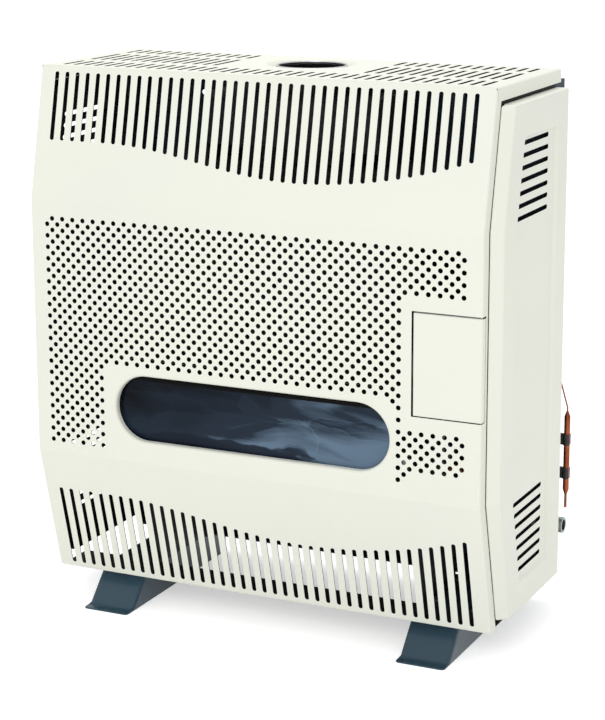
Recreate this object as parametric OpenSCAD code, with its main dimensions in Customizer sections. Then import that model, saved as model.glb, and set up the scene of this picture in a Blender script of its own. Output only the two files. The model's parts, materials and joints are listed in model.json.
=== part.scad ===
// Flued gas room heater with a sheet-steel casing on two feet.
// Origin: centre of the footprint, on the floor. +X to the right, +Y to the wall, +Z up. Millimetres.
// Inside the modules, Y is the depth behind the front face; front_origin() moves it into place.

/* [Casing] */
// Height of the top above the floor
casing_h = 720; // [710:2:740]
// Width over both side panels
overall_w = 648; // [640:2:664]
// Depth from the front face to the wall
overall_d = 308; // [304:2:330]
// How far a side panel stands out beside the front panel
side_bulge = 15; // [14:0.5:17]
// Clear height under the casing
base_h = 46; // [40:1:56]
// Thickness of the casing sheet
sheet_t = 1.2; // [1:0.1:1.5]
// Outer radius of the folded vertical edges
fold_r = 3; // [2.5:0.5:4]

/* [Front panel] */
// Height of the lower bend
bend_low = 220; // [210:2:226]
// Height of the upper bend
bend_high = 553; // [546:2:570]
// How far the top edge leans back
lean_top = 37; // [30:1:40]
// How far the bottom edge leans back
lean_bottom = 45; // [36:1:48]
// Depth of the side returns
return_d = 17; // [15:1:20]
// Depth of the bottom flange
bottom_flange = 60; // [50:2:70]
// Depth of the lip under the top panel
top_lip = 14; // [10:1:18]

/* [Window] */
// Distance from the round-ended window to the panel's edge
window_inset = 119; // [116:1:129]
// Height of the window opening
window_h = 86; // [76:2:90]
// Height of the window's centre
window_z = 291; // [288:1:294]
// Outer radius of the drawn-in lip
lip_r = 4; // [3:0.5:5]
// Depth of the drawn-in lip
lip_d = 9; // [7:0.5:10]

/* [Perforation] */
// Diameter of a round hole
hole_d = 5.5; // [4:0.25:6.5]
// Distance between neighbouring holes in a row
hole_pitch = 15; // [14.5:0.1:15]
// Least distance from the outermost holes to the panel's edge
hole_edge = 22; // [18:1:40]
// Number of rows
hole_rows = 40; // [30:1:40]
// Drop from the upper bend to the first row
hole_top_margin = 24; // [20:1:30]

/* [Grille slots] */
// Width of a slot
slot_w = 5; // [4:0.25:6]
// Distance between slots
slot_pitch = 15; // [14:0.25:15]
// Least distance from the outermost slots to the panel's edge
slot_edge = 20; // [18:1:40]
// Land between the slots and the top or bottom edge
slot_land = 7.6; // [6:0.2:10]
// Rise of the wave at the left-hand slots
wave_left = 32; // [20:1:36]
// Rise of the wave at the right-hand slots
wave_right = 38; // [20:1:40]
// Sideways place of the wave's trough
wave_trough_x = 60; // [30:5:90]
// Height of the upper slots' ends at the trough
upper_slot_z = 595; // [590:1:610]
// Height of the lower slots' ends at the trough
lower_slot_z = 134; // [120:1:140]

/* [Top panel] */
// Distance from the top's rear edge to the wall
top_setback = 40; // [36:1:44]
// Depth of the turned-down lips
top_lip_h = 17; // [15:1:19]
// Where the front row of top slots starts
top_row1_start = 52; // [50:1:56]
// Land between the front row and the dish round the flue
top_dish_land = 30.5; // [28:0.5:36]
// Length of the rear row's slots
top_row3_len = 41; // [30:1:42]
// Land between the rows
top_row_gap = 19; // [16:1:20]
// Land behind the rear row
top_rear_land = 16; // [14:1:20]
// Half width of the blank field around the flue
flue_field = 98; // [92:1:100]

/* [Flue] */
// Outer diameter of the spigot
flue_d = 90; // [80:1:92]
// Distance from the flue's centre to the wall
flue_setback = 119; // [114:1:122]
// Wall of the spigot
flue_wall = 1.2; // [1:0.1:2]
// Outer diameter of the dished recess round the spigot
dish_d = 117; // [112:1:120]
// Depth of the dished recess
dish_depth = 8; // [5:0.5:10]
// Length of the spigot
flue_len = 42; // [36:1:44]

/* [Side panels] */
// Width of the slanting front edge
bevel_d = 12; // [8:1:14]
// Distance from the rear edge to the wall
side_setback = 53; // [50:1:56]
// Height of the bottom edge
side_low = 59; // [56:1:62]
// Height of the top edge
side_high = 698; // [690:1:700]
// Depth of the pressed field
field_depth = 3; // [2:0.5:5]
// Number of louvre slots in each group
louvre_count = 7; // [5:1:7]
// Height of a louvre slot
louvre_h = 5; // [4:0.25:6]

/* [Control door] */
// Width of the door
door_w = 88; // [83:1:90]
// Bottom edge of the door
door_low = 326; // [322:1:330]
// Height of the door
door_h = 127; // [120:1:130]
// Depth of the part that wraps round the corner
door_wrap = 10; // [8:0.5:10]
// Gap at the left and the top
door_gap = 2; // [1.5:0.25:2.5]
// Gap at the bottom and behind the wrap
door_gap_small = 0.9; // [0.8:0.1:1.2]
// Diameter of the hinge pins
hinge_pin_d = 2.4; // [2:0.1:2.6]

/* [Feet] */
// Width of a foot
foot_w = 66; // [56:1:72]
// Distance from a foot's centre line to the casing's side
foot_inset = 84; // [81:1:89]
// Thickness of the foot's sheet
foot_t = 2; // [1.5:0.1:3]
// Where the lip on the floor starts, behind the front face
foot_front = 18; // [14:1:24]
// Length of the lip
foot_lip = 12; // [8:1:14]
// How far the front face leans back over the foot's height
foot_slope = 44; // [30:1:50]
// Distance from the foot's rear end to the wall
foot_setback = 8; // [4:1:18]

/* [Rear frame] */
// How much narrower the rear frame is than the front panel, on each side
frame_inset = 9; // [6:1:12]
// Depth of its sides
frame_d = 72; // [66:1:74]
// Thickness of its sheet
frame_t = 1.5; // [1.2:0.1:2]
// Distance between the two wall fixing holes
wall_hole_spacing = 440; // [380:10:480]
// Distance from the wall fixing holes to the top of the casing
wall_hole_drop = 60; // [50:5:80]
// Diameter of the wall fixing holes
wall_hole_d = 7; // [6:0.5:9]

/* [Combustion chamber] */
// Distance from the chamber's side to the casing's side
chamber_inset = 104; // [102:1:109]
// Front of the chamber behind the front face
chamber_front = 64; // [62:1:70]
// Distance from the chamber's rear to the wall
chamber_setback = 94; // [92:1:98]
// Height of the chamber's bottom
chamber_low = 196; // [192:1:200]
// Distance from the chamber's top to the top of the casing
chamber_drop = 120; // [114:2:130]
// Wall of the chamber
chamber_t = 2; // [1.5:0.1:3]
// Diameter of the burner tube
burner_d = 44; // [40:1:46]
// Height of the burner tube
burner_z = 226; // [224:1:228]

/* [Controls] */
// Distance from the valve's axis to the casing's side
valve_inset = 51; // [49:1:53]
// Height of the knob's axis
knob_z = 404; // [402:1:408]
// Diameter of the knob
knob_d = 44; // [38:1:48]
// Length of the knob
knob_len = 17; // [14:0.5:18]
// Travel of the knob when pressed
knob_travel = 5; // [3:0.5:5]
// Diameter of the valve spindle
spindle_d = 8; // [6:0.25:9]
// Height of the igniter button's axis
piezo_z = 352; // [350:1:354]
// Diameter of the igniter button
piezo_d = 11; // [9:0.5:12]
// Travel of the igniter button
piezo_travel = 7; // [5:0.5:8]

/* [Gas and thermostat] */
// Outside diameter of the inlet thread
inlet_d = 20.95; // [20.95:0.01:20.96]
// Bore of the inlet
inlet_bore = 15; // [12:0.5:16]
// Height of the inlet
inlet_z = 112; // [108:1:120]
// Distance from the inlet's axis to the wall
inlet_setback = 14; // [14:0.5:18]
// Diameter of the thermostat bulb
bulb_d = 8; // [6:0.5:9]
// Length of the bulb between its necks
bulb_len = 100; // [90:1:110]
// Height of the bulb's lower end
bulb_z = 160; // [156:1:166]

/* [Hidden] */
$fn = 48;

// ---------- Sizes that follow from the heater's overall sizes ----------

casing_w = overall_w - 2 * side_bulge;
half_w = casing_w / 2;
half_overall = overall_w / 2;
window_w = casing_w - 2 * window_inset;
door_left = half_w - door_w;
valve_x = half_w - valve_inset;
foot_spacing = casing_w - 2 * foot_inset;
frame_w = casing_w - 2 * frame_inset;
chamber_w = casing_w - 2 * chamber_inset;
slot_count = 2 * floor((half_w - slot_edge) / slot_pitch) + 1;
hole_half_cols = floor((half_w - hole_edge) / (hole_pitch / 2));

chamber_high = casing_h - chamber_drop;
wall_hole_z = casing_h - wall_hole_drop;

top_rear = overall_d - top_setback;
side_rear = overall_d - side_setback;
flue_y = overall_d - flue_setback;
foot_rear = overall_d - foot_setback;
inlet_y = overall_d - inlet_setback;
chamber_d = overall_d - chamber_setback - chamber_front;

far = 900;             // longer than any part of the heater, for cutting
seam = 0.3;            // fine gap between panels that meet
run = 0.05;            // radial running clearance of pins and spindles
screw_gap = 0.25;      // radial clearance of a screw in its hole

cream = [0.93, 0.93, 0.88];
steel_blue = [0.24, 0.29, 0.35];
black = [0.08, 0.08, 0.09];
zinc = [0.75, 0.76, 0.78];
copper = [0.72, 0.38, 0.22];
brass = [0.78, 0.64, 0.33];

// ---------- Frames of reference and small helpers ----------

module front_origin() translate([0, -overall_d / 2, 0]) children();

module extrude_x(x0, x1) translate([x0, 0, 0]) rotate([90, 0, 90]) linear_extrude(x1 - x0) children();
module extrude_y(y0, y1) translate([0, y1, 0]) rotate([90, 0, 0]) linear_extrude(y1 - y0) children();
module extrude_z(z0, z1) translate([0, 0, z0]) linear_extrude(z1 - z0) children();

// Box from its lowest to its highest corner
module block(low, high) translate(low) cube(high - low);

module rounded_rect(w, h, r) {
    square([w - 2 * r, h], center = true);
    square([w, h - 2 * r], center = true);
    for (x = [-1, 1], y = [-1, 1]) translate([x * (w / 2 - r), y * (h / 2 - r)]) circle(r);
}

module stadium(w, h) {
    square([w - h, h], center = true);
    for (x = [-1, 1]) translate([x * (w - h) / 2, 0]) circle(d = h);
}

// Upright round-ended slot from y0 to y1
module slot(x, y0, y1, w) translate([x, (y0 + y1) / 2]) rotate(90) stadium(y1 - y0, w);

function unit(v) = v / norm(v);

module rod(p, q, r) {
    v = q - p;
    translate(p) rotate([0, acos(v[2] / norm(v)), atan2(v[1], v[0])]) cylinder(h = norm(v), r = r);
}

// Bend of a tube at corner c, coming in along a and leaving along b
module elbow(c, a, b, r, bend_r) {
    turn = acos(a * b);
    p = unit(b - a * (a * b));
    n = cross(a, p);
    o = c - a * bend_r * tan(turn / 2) + p * bend_r;
    multmatrix([[-p[0], a[0], n[0], o[0]], [-p[1], a[1], n[1], o[1]], [-p[2], a[2], n[2], o[2]], [0, 0, 0, 1]])
        rotate_extrude(angle = turn) translate([bend_r, 0]) circle(r);
}

// Tube along straight runs with round bends between them
module routed_tube(points, r, bend_r) {
    last = len(points) - 1;
    dir = [for (i = [0:last - 1]) unit(points[i + 1] - points[i])];
    trim = [for (i = [0:last]) i == 0 || i == last ? 0 : bend_r * tan(acos(dir[i - 1] * dir[i]) / 2)];
    for (i = [0:last - 1]) rod(points[i] + dir[i] * trim[i], points[i + 1] - dir[i] * trim[i + 1], r);
    for (i = [1:last - 1]) elbow(points[i], dir[i - 1], dir[i], r, bend_r);
}

// Pan-head screw along +Z with the underside of its head at z = 0
module screw(d, length) {
    head_h = 0.6 * d;
    translate([0, 0, -length]) cylinder(h = length + head_h / 2, d = d);
    difference() {
        cylinder(h = head_h, d = 1.9 * d);
        for (a = [0, 90]) rotate(a) translate([-0.6 * d, -0.12 * d, head_h * 0.5]) cube([1.2 * d, 0.24 * d, d]);
    }
}

// ---------- Casing outline ----------

// Each facet of the front: [depth, height] of its lower edge, then of its upper edge
facets = [
    [[lean_bottom, base_h], [0, bend_low]],
    [[0, bend_low], [0, bend_high]],
    [[0, bend_high], [lean_top, casing_h]]
];
function lean(i) = atan2(facets[i][1][0] - facets[i][0][0], facets[i][1][1] - facets[i][0][1]);

// Distance along a facet of the point at height z
function along(i, z) = (z - facets[i][0][1]) / cos(lean(i));

// Depth of the front face at height z
function face_y(z) = z > bend_high ? lean_top * (z - bend_high) / (casing_h - bend_high)
    : z < bend_low ? lean_bottom * (bend_low - z) / (bend_low - base_h) : 0;

// Children drawn in a facet's own plane, from its bend: X across, Y up the facet, Z out of the front
module at_bend(i) {
    bend = facets[i][i == 0 ? 1 : 0];
    translate([0, bend[0], bend[1]]) rotate([90 - lean(i), 0, 0]) children();
}
// The same, from the facet's lower edge
module on_facet(i) at_bend(i) translate([0, i == 0 ? -norm(facets[0][1] - facets[0][0]) : 0, 0]) children();

// Everything deeper than the face line by d, between two heights
module behind_face(d, x0, x1, z0, z1) extrude_x(x0, x1) polygon([
    [face_y(z0) + d, z0], [d, bend_low], [d, bend_high], [face_y(z1) + d, z1], [far, z1], [far, z0]
]);

// Solid block behind one facet, with its two long front edges rounded
module facet_block(i, w, r) at_bend(i) rotate([90, 0, 0]) linear_extrude(2 * far, center = true) {
    translate([-w / 2, -far]) square([w, far - r]);
    translate([-w / 2 + r, -r - 1]) square([w - 2 * r, r + 1]);
    for (x = [-1, 1]) translate([x * (w / 2 - r), -r]) circle(r);
}

// Convex body behind the whole front, set in by a wall
module face_body(wall, z0, z1) intersection() {
    for_all_facets(wall);
    block([-far, -far, z0], [far, far, z1]);
}
// The outer facets' folds are a little rounder, so that no two folds of one radius meet at a bend
module for_all_facets(wall) intersection() {
    translate([0, wall, 0]) facet_block(1, casing_w - 2 * wall, fold_r - wall);
    on_facet_shift(0, wall) facet_block(0, casing_w - 2 * wall, fold_r - wall + 0.1);
    on_facet_shift(2, wall) facet_block(2, casing_w - 2 * wall, fold_r - wall + 0.1);
}
// Shift along a facet's inward normal
module on_facet_shift(i, wall) translate([0, wall * cos(lean(i)), -wall * sin(lean(i))]) children();

// Folded sheet that follows the front and its side returns
module face_shell() difference() {
    face_body(0, base_h, casing_h);
    face_body(sheet_t, base_h - 1, casing_h + 1);
    behind_face(return_d, -far, far, base_h - 20, casing_h + 20);
}

// ---------- Door outline ----------

door_high = door_low + door_h;
door_right = half_w;
hinge_x = half_w - sheet_t - hinge_pin_d / 2 - 0.4;
hinge_y = sheet_t + hinge_pin_d / 2 + 1.6;
lug_t = 1.5;

// ---------- Front panel ----------

cell = hole_pitch / 2;
hole_top_z = bend_high - hole_top_margin;
door_margin = 15;
window_margin = 12;
low_block_rows = 7;
// Single holes that round off the field beside the window, as [column, row]
beside = ceil(window_w / 2 / cell);
corner_holes = [[beside, 25], [beside + 1, 26], [beside + 1, 28], [beside + 2, 37], [beside + 1, 38]];

function hole_z(row) = hole_top_z - row * cell;
function low_block(x, z) = x > window_w / 2 + 10 && z < door_low - 20 && z > door_low - 20 - low_block_rows * cell;
function in_field(x, z) =
    z > door_high + 20
    || (x < door_left - door_margin && z > window_z + window_h / 2 + window_margin)
    || x < -window_w / 2 - 18
    || low_block(x, z);
function is_hole(col, row) = (col + row) % 2 != 0
    && (in_field(col * cell, hole_z(row)) || len([for (h = corner_holes) if (h == [col, row]) 1]) > 0);

module perforation() for (row = [0:hole_rows - 1], col = [-hole_half_cols:hole_half_cols])
    if (is_hole(col, row)) translate([col * cell, hole_z(row) - bend_low]) circle(d = hole_d, $fn = 20);

slot_span = (slot_count - 1) * slot_pitch / 2;
wave_run = 270;        // width of the wave's falling left half

// Wave that the ends of the front slots follow, above its trough
function wave(x) = x < wave_trough_x
    ? wave_left * (1 - cos(180 * min(1, (wave_trough_x - x) / wave_run))) / 2
    : wave_right * pow((x - wave_trough_x) / (slot_span - wave_trough_x), 2);

module upper_slots() for (i = [0:slot_count - 1]) {
    x = i * slot_pitch - slot_span;
    slot(x, along(2, upper_slot_z + wave(x)), along(2, casing_h - slot_land), slot_w);
}
module lower_slots() for (i = [0:slot_count - 1]) {
    x = i * slot_pitch - slot_span;
    slot(x, along(0, base_h + slot_land), along(0, lower_slot_z + wave(x)), slot_w);
}

module cut_facet(i) on_facet(i) translate([0, 0, -5]) linear_extrude(10) children();

// Wall of the drawn lip, as [distance outside the opening, depth]
module lip_profile() {
    difference() {
        translate([lip_r, -lip_r]) circle(lip_r);
        translate([lip_r, -lip_r]) circle(lip_r - sheet_t);
        translate([lip_r, -2 * lip_r - 1]) square([2 * lip_r, 3 * lip_r]);
        translate([-1, -2 * lip_r - 1]) square([3 * lip_r, lip_r + 1]);
    }
    translate([0, -lip_d]) square([sheet_t, lip_d - lip_r]);
    translate([lip_r, -sheet_t]) square([1, sheet_t]);
}
module window_lip() translate([0, 0, window_z]) {
    half = (window_w - window_h) / 2;
    for (s = [-1, 1]) {
        translate([s * half, 0, 0]) rotate([90, 0, 0]) rotate(-90 * s)
            rotate_extrude(angle = 180) translate([window_h / 2, 0]) lip_profile();
        extrude_x(-half, half) mirror([0, s < 0 ? 1 : 0]) translate([0, window_h / 2]) rotate(90) lip_profile();
    }
}

module door_opening() {
    block([door_left - door_gap, -1, door_low - door_gap_small],
          [half_w + 1, door_wrap + door_gap_small, door_high + door_gap]);
}

// Lugs that hold the hinge pins, above and below the door
module hinge_lugs() for (z = [door_low - door_gap_small - lug_t - 1, door_high + door_gap + 1]) difference() {
    block([hinge_x - 9, sheet_t / 2, z], [half_w - sheet_t / 2, hinge_y + 4, z + lug_t]);
    translate([hinge_x, hinge_y, z - 1]) cylinder(h = lug_t + 2, d = hinge_pin_d + 2 * run);
}

module front_panel() color(cream) front_origin() {
    difference() {
        union() {
            difference() {
                face_shell();
                cut_facet(1) translate([0, window_z - bend_low]) stadium(window_w + 2 * lip_r, window_h + 2 * lip_r);
                cut_facet(1) perforation();
                cut_facet(2) upper_slots();
                cut_facet(0) lower_slots();
            }
            window_lip();
            block([-half_w + fold_r + 1, lean_bottom + 0.4, base_h],
                  [half_w - fold_r - 1, lean_bottom + bottom_flange, base_h + sheet_t]);
            block([-half_w + fold_r + 1, face_y(casing_h - sheet_t) - 0.2, casing_h - 2 * sheet_t],
                  [half_w - fold_r - 1, lean_top + top_lip, casing_h - sheet_t]);
        }
        door_opening();
        // seat of the top panel
        block([-far, lean_top + seam, casing_h - sheet_t], [far, far, casing_h + 1]);
        // the side returns stop where the top panel's lips begin
        for (s = [-1, 1]) translate([s * half_w, 0, 0])
            block([-fold_r, lean_top + fold_r, casing_h - top_lip_h], [fold_r, far, casing_h + 1]);
    }
    hinge_lugs();
}

// ---------- Top panel ----------

top_row1_len = flue_y - dish_d / 2 - top_dish_land - top_row1_start;
row2_start = top_row1_start + top_row1_len + top_row_gap;
row3_start = top_rear - top_rear_land - top_row3_len;
top_row2_len = row3_start - top_row_gap - row2_start;
flue_hole_r = flue_d / 2 + 2;
spigot_top = casing_h - dish_depth + 2;

module top_slots() for (i = [0:slot_count - 1]) {
    x = i * slot_pitch - slot_span;
    slot(x, top_row1_start, top_row1_start + top_row1_len, slot_w);
    if (abs(x) > flue_field) {
        slot(x, row2_start, row2_start + top_row2_len, slot_w);
        slot(x, row3_start, row3_start + top_row3_len, slot_w);
    }
}

// Folded top: flat, with rounded side folds and lips hanging down
module top_section() difference() {
    intersection() {
        translate([0, casing_h - far / 2]) rounded_rect(casing_w, far, fold_r);
        translate([-half_w, casing_h - top_lip_h]) square([casing_w, top_lip_h]);
    }
    translate([0, casing_h - sheet_t - far / 2]) rounded_rect(casing_w - 2 * sheet_t, far, fold_r - sheet_t);
}

module flue_dish() translate([0, flue_y, casing_h]) rotate_extrude() polygon([
    [dish_d / 2 + 0.5, 0], [dish_d / 2 - 1, -0.4], [flue_hole_r + 3, 0.4 - dish_depth], [flue_hole_r, -dish_depth],
    [flue_hole_r, -dish_depth - sheet_t], [flue_hole_r + 3.4, 0.4 - dish_depth - sheet_t],
    [dish_d / 2 - 0.4, -sheet_t - 0.4], [dish_d / 2 + 0.5, -sheet_t]
]);

module top_panel() color(cream) front_origin() {
    difference() {
        extrude_y(lean_top + seam, top_rear) top_section();
        block([-far, 0, 0], [far, lean_top + fold_r + seam, casing_h - sheet_t]);
        extrude_z(casing_h - 5, casing_h + 1) {
            top_slots();
            translate([0, flue_y]) circle(d = dish_d);
        }
    }
    flue_dish();
    block([-half_w + fold_r, top_rear - sheet_t, casing_h - top_lip_h],
          [half_w - fold_r, top_rear, casing_h - sheet_t / 2]);
}

// ---------- Side panels ----------

half_frame = frame_w / 2;
side_flange = 12;      // flange behind the slanting front edge
side_lip = 20;         // lip on the rear frame
field_front = 70;      // front edge of the pressed field behind the face line
field_rear = side_rear - 36;
field_low = side_low + 35;
field_high = side_high - 40;
louvre_pitch = 15;
louvre_rear = side_rear - 64;
louvre_front = 82;     // front end of the louvre slots behind the face line
panel_screw_y = side_rear + side_lip / 2;
panel_screw_z = [side_low + 90, (side_low + side_high) / 2, side_high - 60];
panel_screw_d = 4;

// Slanting front edge, set in by a wall: everything in front of it is cut away
module bevel_cut(wall) for (i = [0:2]) at_bend(i) rotate([90, 0, 0]) linear_extrude(2 * far, center = true) {
    run_x = half_overall - half_w;
    slope = atan2(bevel_d, run_x);
    translate([half_w, -return_d - seam]) rotate(-slope) translate([-far, -wall]) square([2 * far, far]);
}

module side_solid(wall, x0) difference() {
    intersection() {
        behind_face(return_d + seam + wall, x0, half_overall - wall, side_low + wall, side_high - wall);
        block([x0, 0, side_low], [half_overall, side_rear - wall, side_high]);
    }
    bevel_cut(wall);
}

module field(inset, x0, x1) intersection() {
    behind_face(field_front + inset, x0, x1, field_low + inset, field_high - inset);
    block([x0, 0, field_low], [x1, field_rear - inset, field_high]);
}

module louvres() for (i = [0:louvre_count - 1], z = [field_high - 10 - i * louvre_pitch, field_low + 16 + i * louvre_pitch])
    extrude_x(half_overall - field_depth - 5, half_overall) translate([0, z])
        slot_between(face_y(z) + louvre_front, louvre_rear, louvre_h);
module slot_between(a, b, h) translate([(a + b) / 2, 0]) stadium(b - a, h);

module side_panel() {
    floor_x = half_overall - field_depth;
    difference() {
        union() {
            difference() {
                side_solid(0, half_frame);
                side_solid(sheet_t, half_w + sheet_t);
                // open inner side, behind the front flange
                intersection() {
                    behind_face(return_d + seam + side_flange, half_frame - 1, half_w + sheet_t + 0.1,
                                side_low + sheet_t, side_high - sheet_t);
                    block([0, 0, 0], [far, side_rear - sheet_t, far]);
                }
                block([half_frame - 1, 0, side_low + sheet_t], [half_w, side_rear - sheet_t, side_high - sheet_t]);
                field(0, floor_x, half_overall + 1);
            }
            difference() {
                field(0, floor_x - sheet_t, half_overall);
                field(sheet_t, floor_x, half_overall + 1);
            }
            block([half_frame, side_rear - sheet_t, side_low + 10],
                  [half_frame + sheet_t, side_rear + side_lip, side_high - 10]);
        }
        louvres();
        for (z = panel_screw_z) translate([half_frame - 1, panel_screw_y, z])
            rotate([0, 90, 0]) cylinder(h = sheet_t + 2, d = panel_screw_d + 2 * screw_gap);
    }
}
module side_panel_right() color(cream) front_origin() side_panel();
module side_panel_left() color(cream) front_origin() mirror([1, 0, 0]) side_panel();

module side_panel_screws() color(zinc) front_origin() for (s = [0, 1], z = panel_screw_z) mirror([s, 0, 0])
    translate([half_frame + sheet_t, panel_screw_y, z]) rotate([0, 90, 0]) screw(panel_screw_d, 8);

// ---------- Control door, its pins and magnet ----------

door_lug_d = 9;        // depth of the door's folded top and bottom edges
hem_d = 7;             // depth of the folded left edge
magnet_h = 30;
magnet_z = (door_low + door_high) / 2;
pin_head_h = 1;

module control_door() color(cream) front_origin() {
    difference() {
        union() {
            difference() {
                facet_block(1, casing_w, fold_r);
                translate([0, sheet_t, 0]) facet_block(1, casing_w - 2 * sheet_t, fold_r - sheet_t);
                difference() {
                    block([-far, -1, 0], [far, far + 1, far]);
                    block([door_left, -2, door_low], [far, door_wrap, door_high]);
                }
                block([-far, -1, -2 * far], [far, 3 * far, 0.1]);
                block([-far, -1, far - 1], [far, 3 * far, 2 * far]);
            }
            for (z = [door_low, door_high - sheet_t])
                block([door_left, sheet_t / 2, z], [half_w - sheet_t, door_lug_d, z + sheet_t]);
            block([door_left, sheet_t / 2, door_low], [door_left + sheet_t, hem_d, door_high]);
        }
        block([door_left - 1, sheet_t, magnet_z - magnet_h / 2 - 2],
              [door_left + sheet_t + 1, far, magnet_z + magnet_h / 2 + 2]);
        translate([hinge_x, hinge_y, door_low - 1]) cylinder(h = door_h + 2, d = hinge_pin_d + 2 * run);
    }
}

module hinge_pins() color(zinc) front_origin() translate([hinge_x, hinge_y, 0]) {
    low = door_low - door_gap_small - lug_t - 1;
    high = door_high + door_gap + 1 + lug_t;
    translate([0, 0, low]) cylinder(h = door_low + sheet_t + 2 - low, d = hinge_pin_d);
    translate([0, 0, low - pin_head_h]) cylinder(h = pin_head_h, d = hinge_pin_d + 0.6);
    translate([0, 0, door_high - sheet_t - 2]) cylinder(h = high - door_high + sheet_t + 2, d = hinge_pin_d);
    translate([0, 0, high]) cylinder(h = pin_head_h, d = hinge_pin_d + 0.6);
}

module door_magnet() color(black) front_origin() {
    block([door_left - 12, sheet_t + seam, magnet_z - magnet_h / 2],
          [door_left + 9, sheet_t + seam + 8, magnet_z + magnet_h / 2]);
    block([door_left - 12, sheet_t, magnet_z - magnet_h / 2],
          [door_left - door_gap - 1, sheet_t + seam, magnet_z + magnet_h / 2]);
}

// ---------- Feet ----------

foot_x = foot_spacing / 2;
foot_r = 5;            // radius of the foot's front edges
frame_y = overall_d - frame_d;
bolt_d = 6;
frame_bolt_y = frame_y + 34;

// Foot body set in by a wall: a prism with a slanting, rounded front
module foot_solid(wall) {
    slope = atan2(foot_slope, base_h);
    intersection() {
        block([-foot_w / 2 + wall, 0, -1], [foot_w / 2 - wall, foot_rear + wall, base_h - wall]);
        translate([0, foot_front + foot_lip, 0]) rotate([-slope, 0, 0]) translate([0, wall, 0])
            linear_extrude(2 * far, center = true) translate([0, far / 2])
                rounded_rect(foot_w - 2 * wall, far, foot_r - wall);
    }
}

module foot() difference() {
    union() {
        difference() {
            foot_solid(0);
            foot_solid(foot_t);
        }
        intersection() {
            extrude_z(0, foot_t) translate([0, foot_front + far / 2]) rounded_rect(foot_w, far, foot_r);
            block([-foot_w, 0, 0], [foot_w, foot_front + foot_lip + foot_t + 1, foot_t]);
        }
    }
    block([-foot_w, 0, -2], [foot_w, far, 0]);
    translate([0, frame_bolt_y, 0]) cylinder(h = base_h + 1, d = bolt_d + 2 * screw_gap);
    for (y = support_bolt_y) translate([support_bolt_x - foot_x, y, 0])
        cylinder(h = base_h + 1, d = bolt_d + 2 * screw_gap);
}
module foot_right() color(steel_blue) front_origin() translate([foot_x, 0, 0]) foot();
module foot_left() color(steel_blue) front_origin() mirror([1, 0, 0]) translate([foot_x, 0, 0]) foot();

module foot_bolts() color(zinc) front_origin() for (s = [0, 1]) mirror([s, 0, 0]) {
    translate([foot_x, frame_bolt_y, base_h + frame_t]) screw(bolt_d, 12);
    for (y = support_bolt_y) translate([support_bolt_x, y, base_h + support_t]) screw(bolt_d, 12);
}

// ---------- Rear frame ----------

frame_top = casing_h - top_lip_h;
inlet_hole_d = inlet_d + 1;
capillary_hole_d = 8;
plate_screw_d = 4;
frame_screw_y = frame_y + 10;
frame_screw_z = [knob_z - 34, knob_z + 16];
swage_h = 420;
swage_w = 26;
swage_depth = 4;
swage_pitch = 150;
vent_h = 42;
vent_count = 25;

module swage_outline(inset) rotate(90) stadium(swage_h - 2 * inset, swage_w - 2 * inset);

module rear_frame() color(steel_blue) front_origin() difference() {
    union() {
        difference() {
            block([-half_frame, frame_y, base_h], [half_frame, overall_d, frame_top]);
            block([-half_frame + frame_t, frame_y - 1, base_h + frame_t],
                  [half_frame - frame_t, overall_d - frame_t, frame_top - frame_t]);
        }
        for (i = [-1:1]) translate([i * swage_pitch, 0, (base_h + frame_top) / 2])
            extrude_y(overall_d - swage_depth - frame_t, overall_d) swage_outline(0);
    }
    for (i = [-1:1]) translate([i * swage_pitch, 0, (base_h + frame_top) / 2])
        extrude_y(overall_d - swage_depth, overall_d + 1) swage_outline(frame_t);
    extrude_y(overall_d - 5, overall_d + 1) {
        for (s = [-1, 1]) translate([s * wall_hole_spacing / 2, wall_hole_z]) circle(d = wall_hole_d);
        for (i = [0:vent_count - 1], z = [base_h + 26, frame_top - 26 - vent_h])
            slot((i - (vent_count - 1) / 2) * slot_pitch, z, z + vent_h, slot_w);
    }
    translate([half_frame - 10, inlet_y, inlet_z]) rotate([0, 90, 0]) cylinder(h = 20, d = inlet_hole_d);
    translate([half_frame - 10, bulb_y, capillary_hole_z]) rotate([0, 90, 0]) cylinder(h = 20, d = capillary_hole_d);
    for (s = [0, 1], z = panel_screw_z) mirror([s, 0, 0]) translate([half_frame - 10, panel_screw_y, z])
        rotate([0, 90, 0]) cylinder(h = 20, d = panel_screw_d + 2 * screw_gap);
    for (z = frame_screw_z) translate([half_frame - 10, frame_screw_y, z])
        rotate([0, 90, 0]) cylinder(h = 20, d = plate_screw_d + 2 * screw_gap);
    for (s = [-1, 1]) translate([s * foot_x, frame_bolt_y, base_h - 5]) cylinder(h = 10, d = bolt_d + 2 * screw_gap);
}

// ---------- Combustion chamber and what carries it ----------

half_chamber = chamber_w / 2;
chamber_rear = chamber_front + chamber_d;
chamber_mid = chamber_front + chamber_d / 2;
chamber_r = 18;
rim_w = 25;            // bottom rim, turned inwards
throat_w = 150;
throat_d = 40;
throat_y = chamber_front + 86;
throat_top = chamber_high + 20;
glass_y = lip_d + 3;
glass_t = 4;
glass_margin = 6;
gasket_t = 2;
glass_w = window_w + 2 * glass_margin;
glass_h = window_h + 2 * glass_margin + 2;
glass_z = window_z - 3;
neck_y = glass_y + glass_t + gasket_t;
neck_w = glass_w + 8;
neck_h = glass_h + 8;
ring_w = neck_w + 20;
ring_h = neck_h + 20;
ring_t = 2;
rib_r = 8;
rib_pitch = 40;
rib_count = 2 * floor((half_chamber - 25) / rib_pitch) + 1;
rib_low = window_z + window_h / 2 + 40;
rib_high = chamber_high - 26;
burner_y = chamber_front + 71;
support_t = 1.5;
support_x = half_chamber - 15;
support_bolt_x = support_x + 14;
support_front = lean_bottom + bottom_flange + 3;
support_rear = chamber_rear + 12;
support_bolt_y = [support_front + 14, support_rear - 20];
sight_screw_d = 4;

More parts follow.
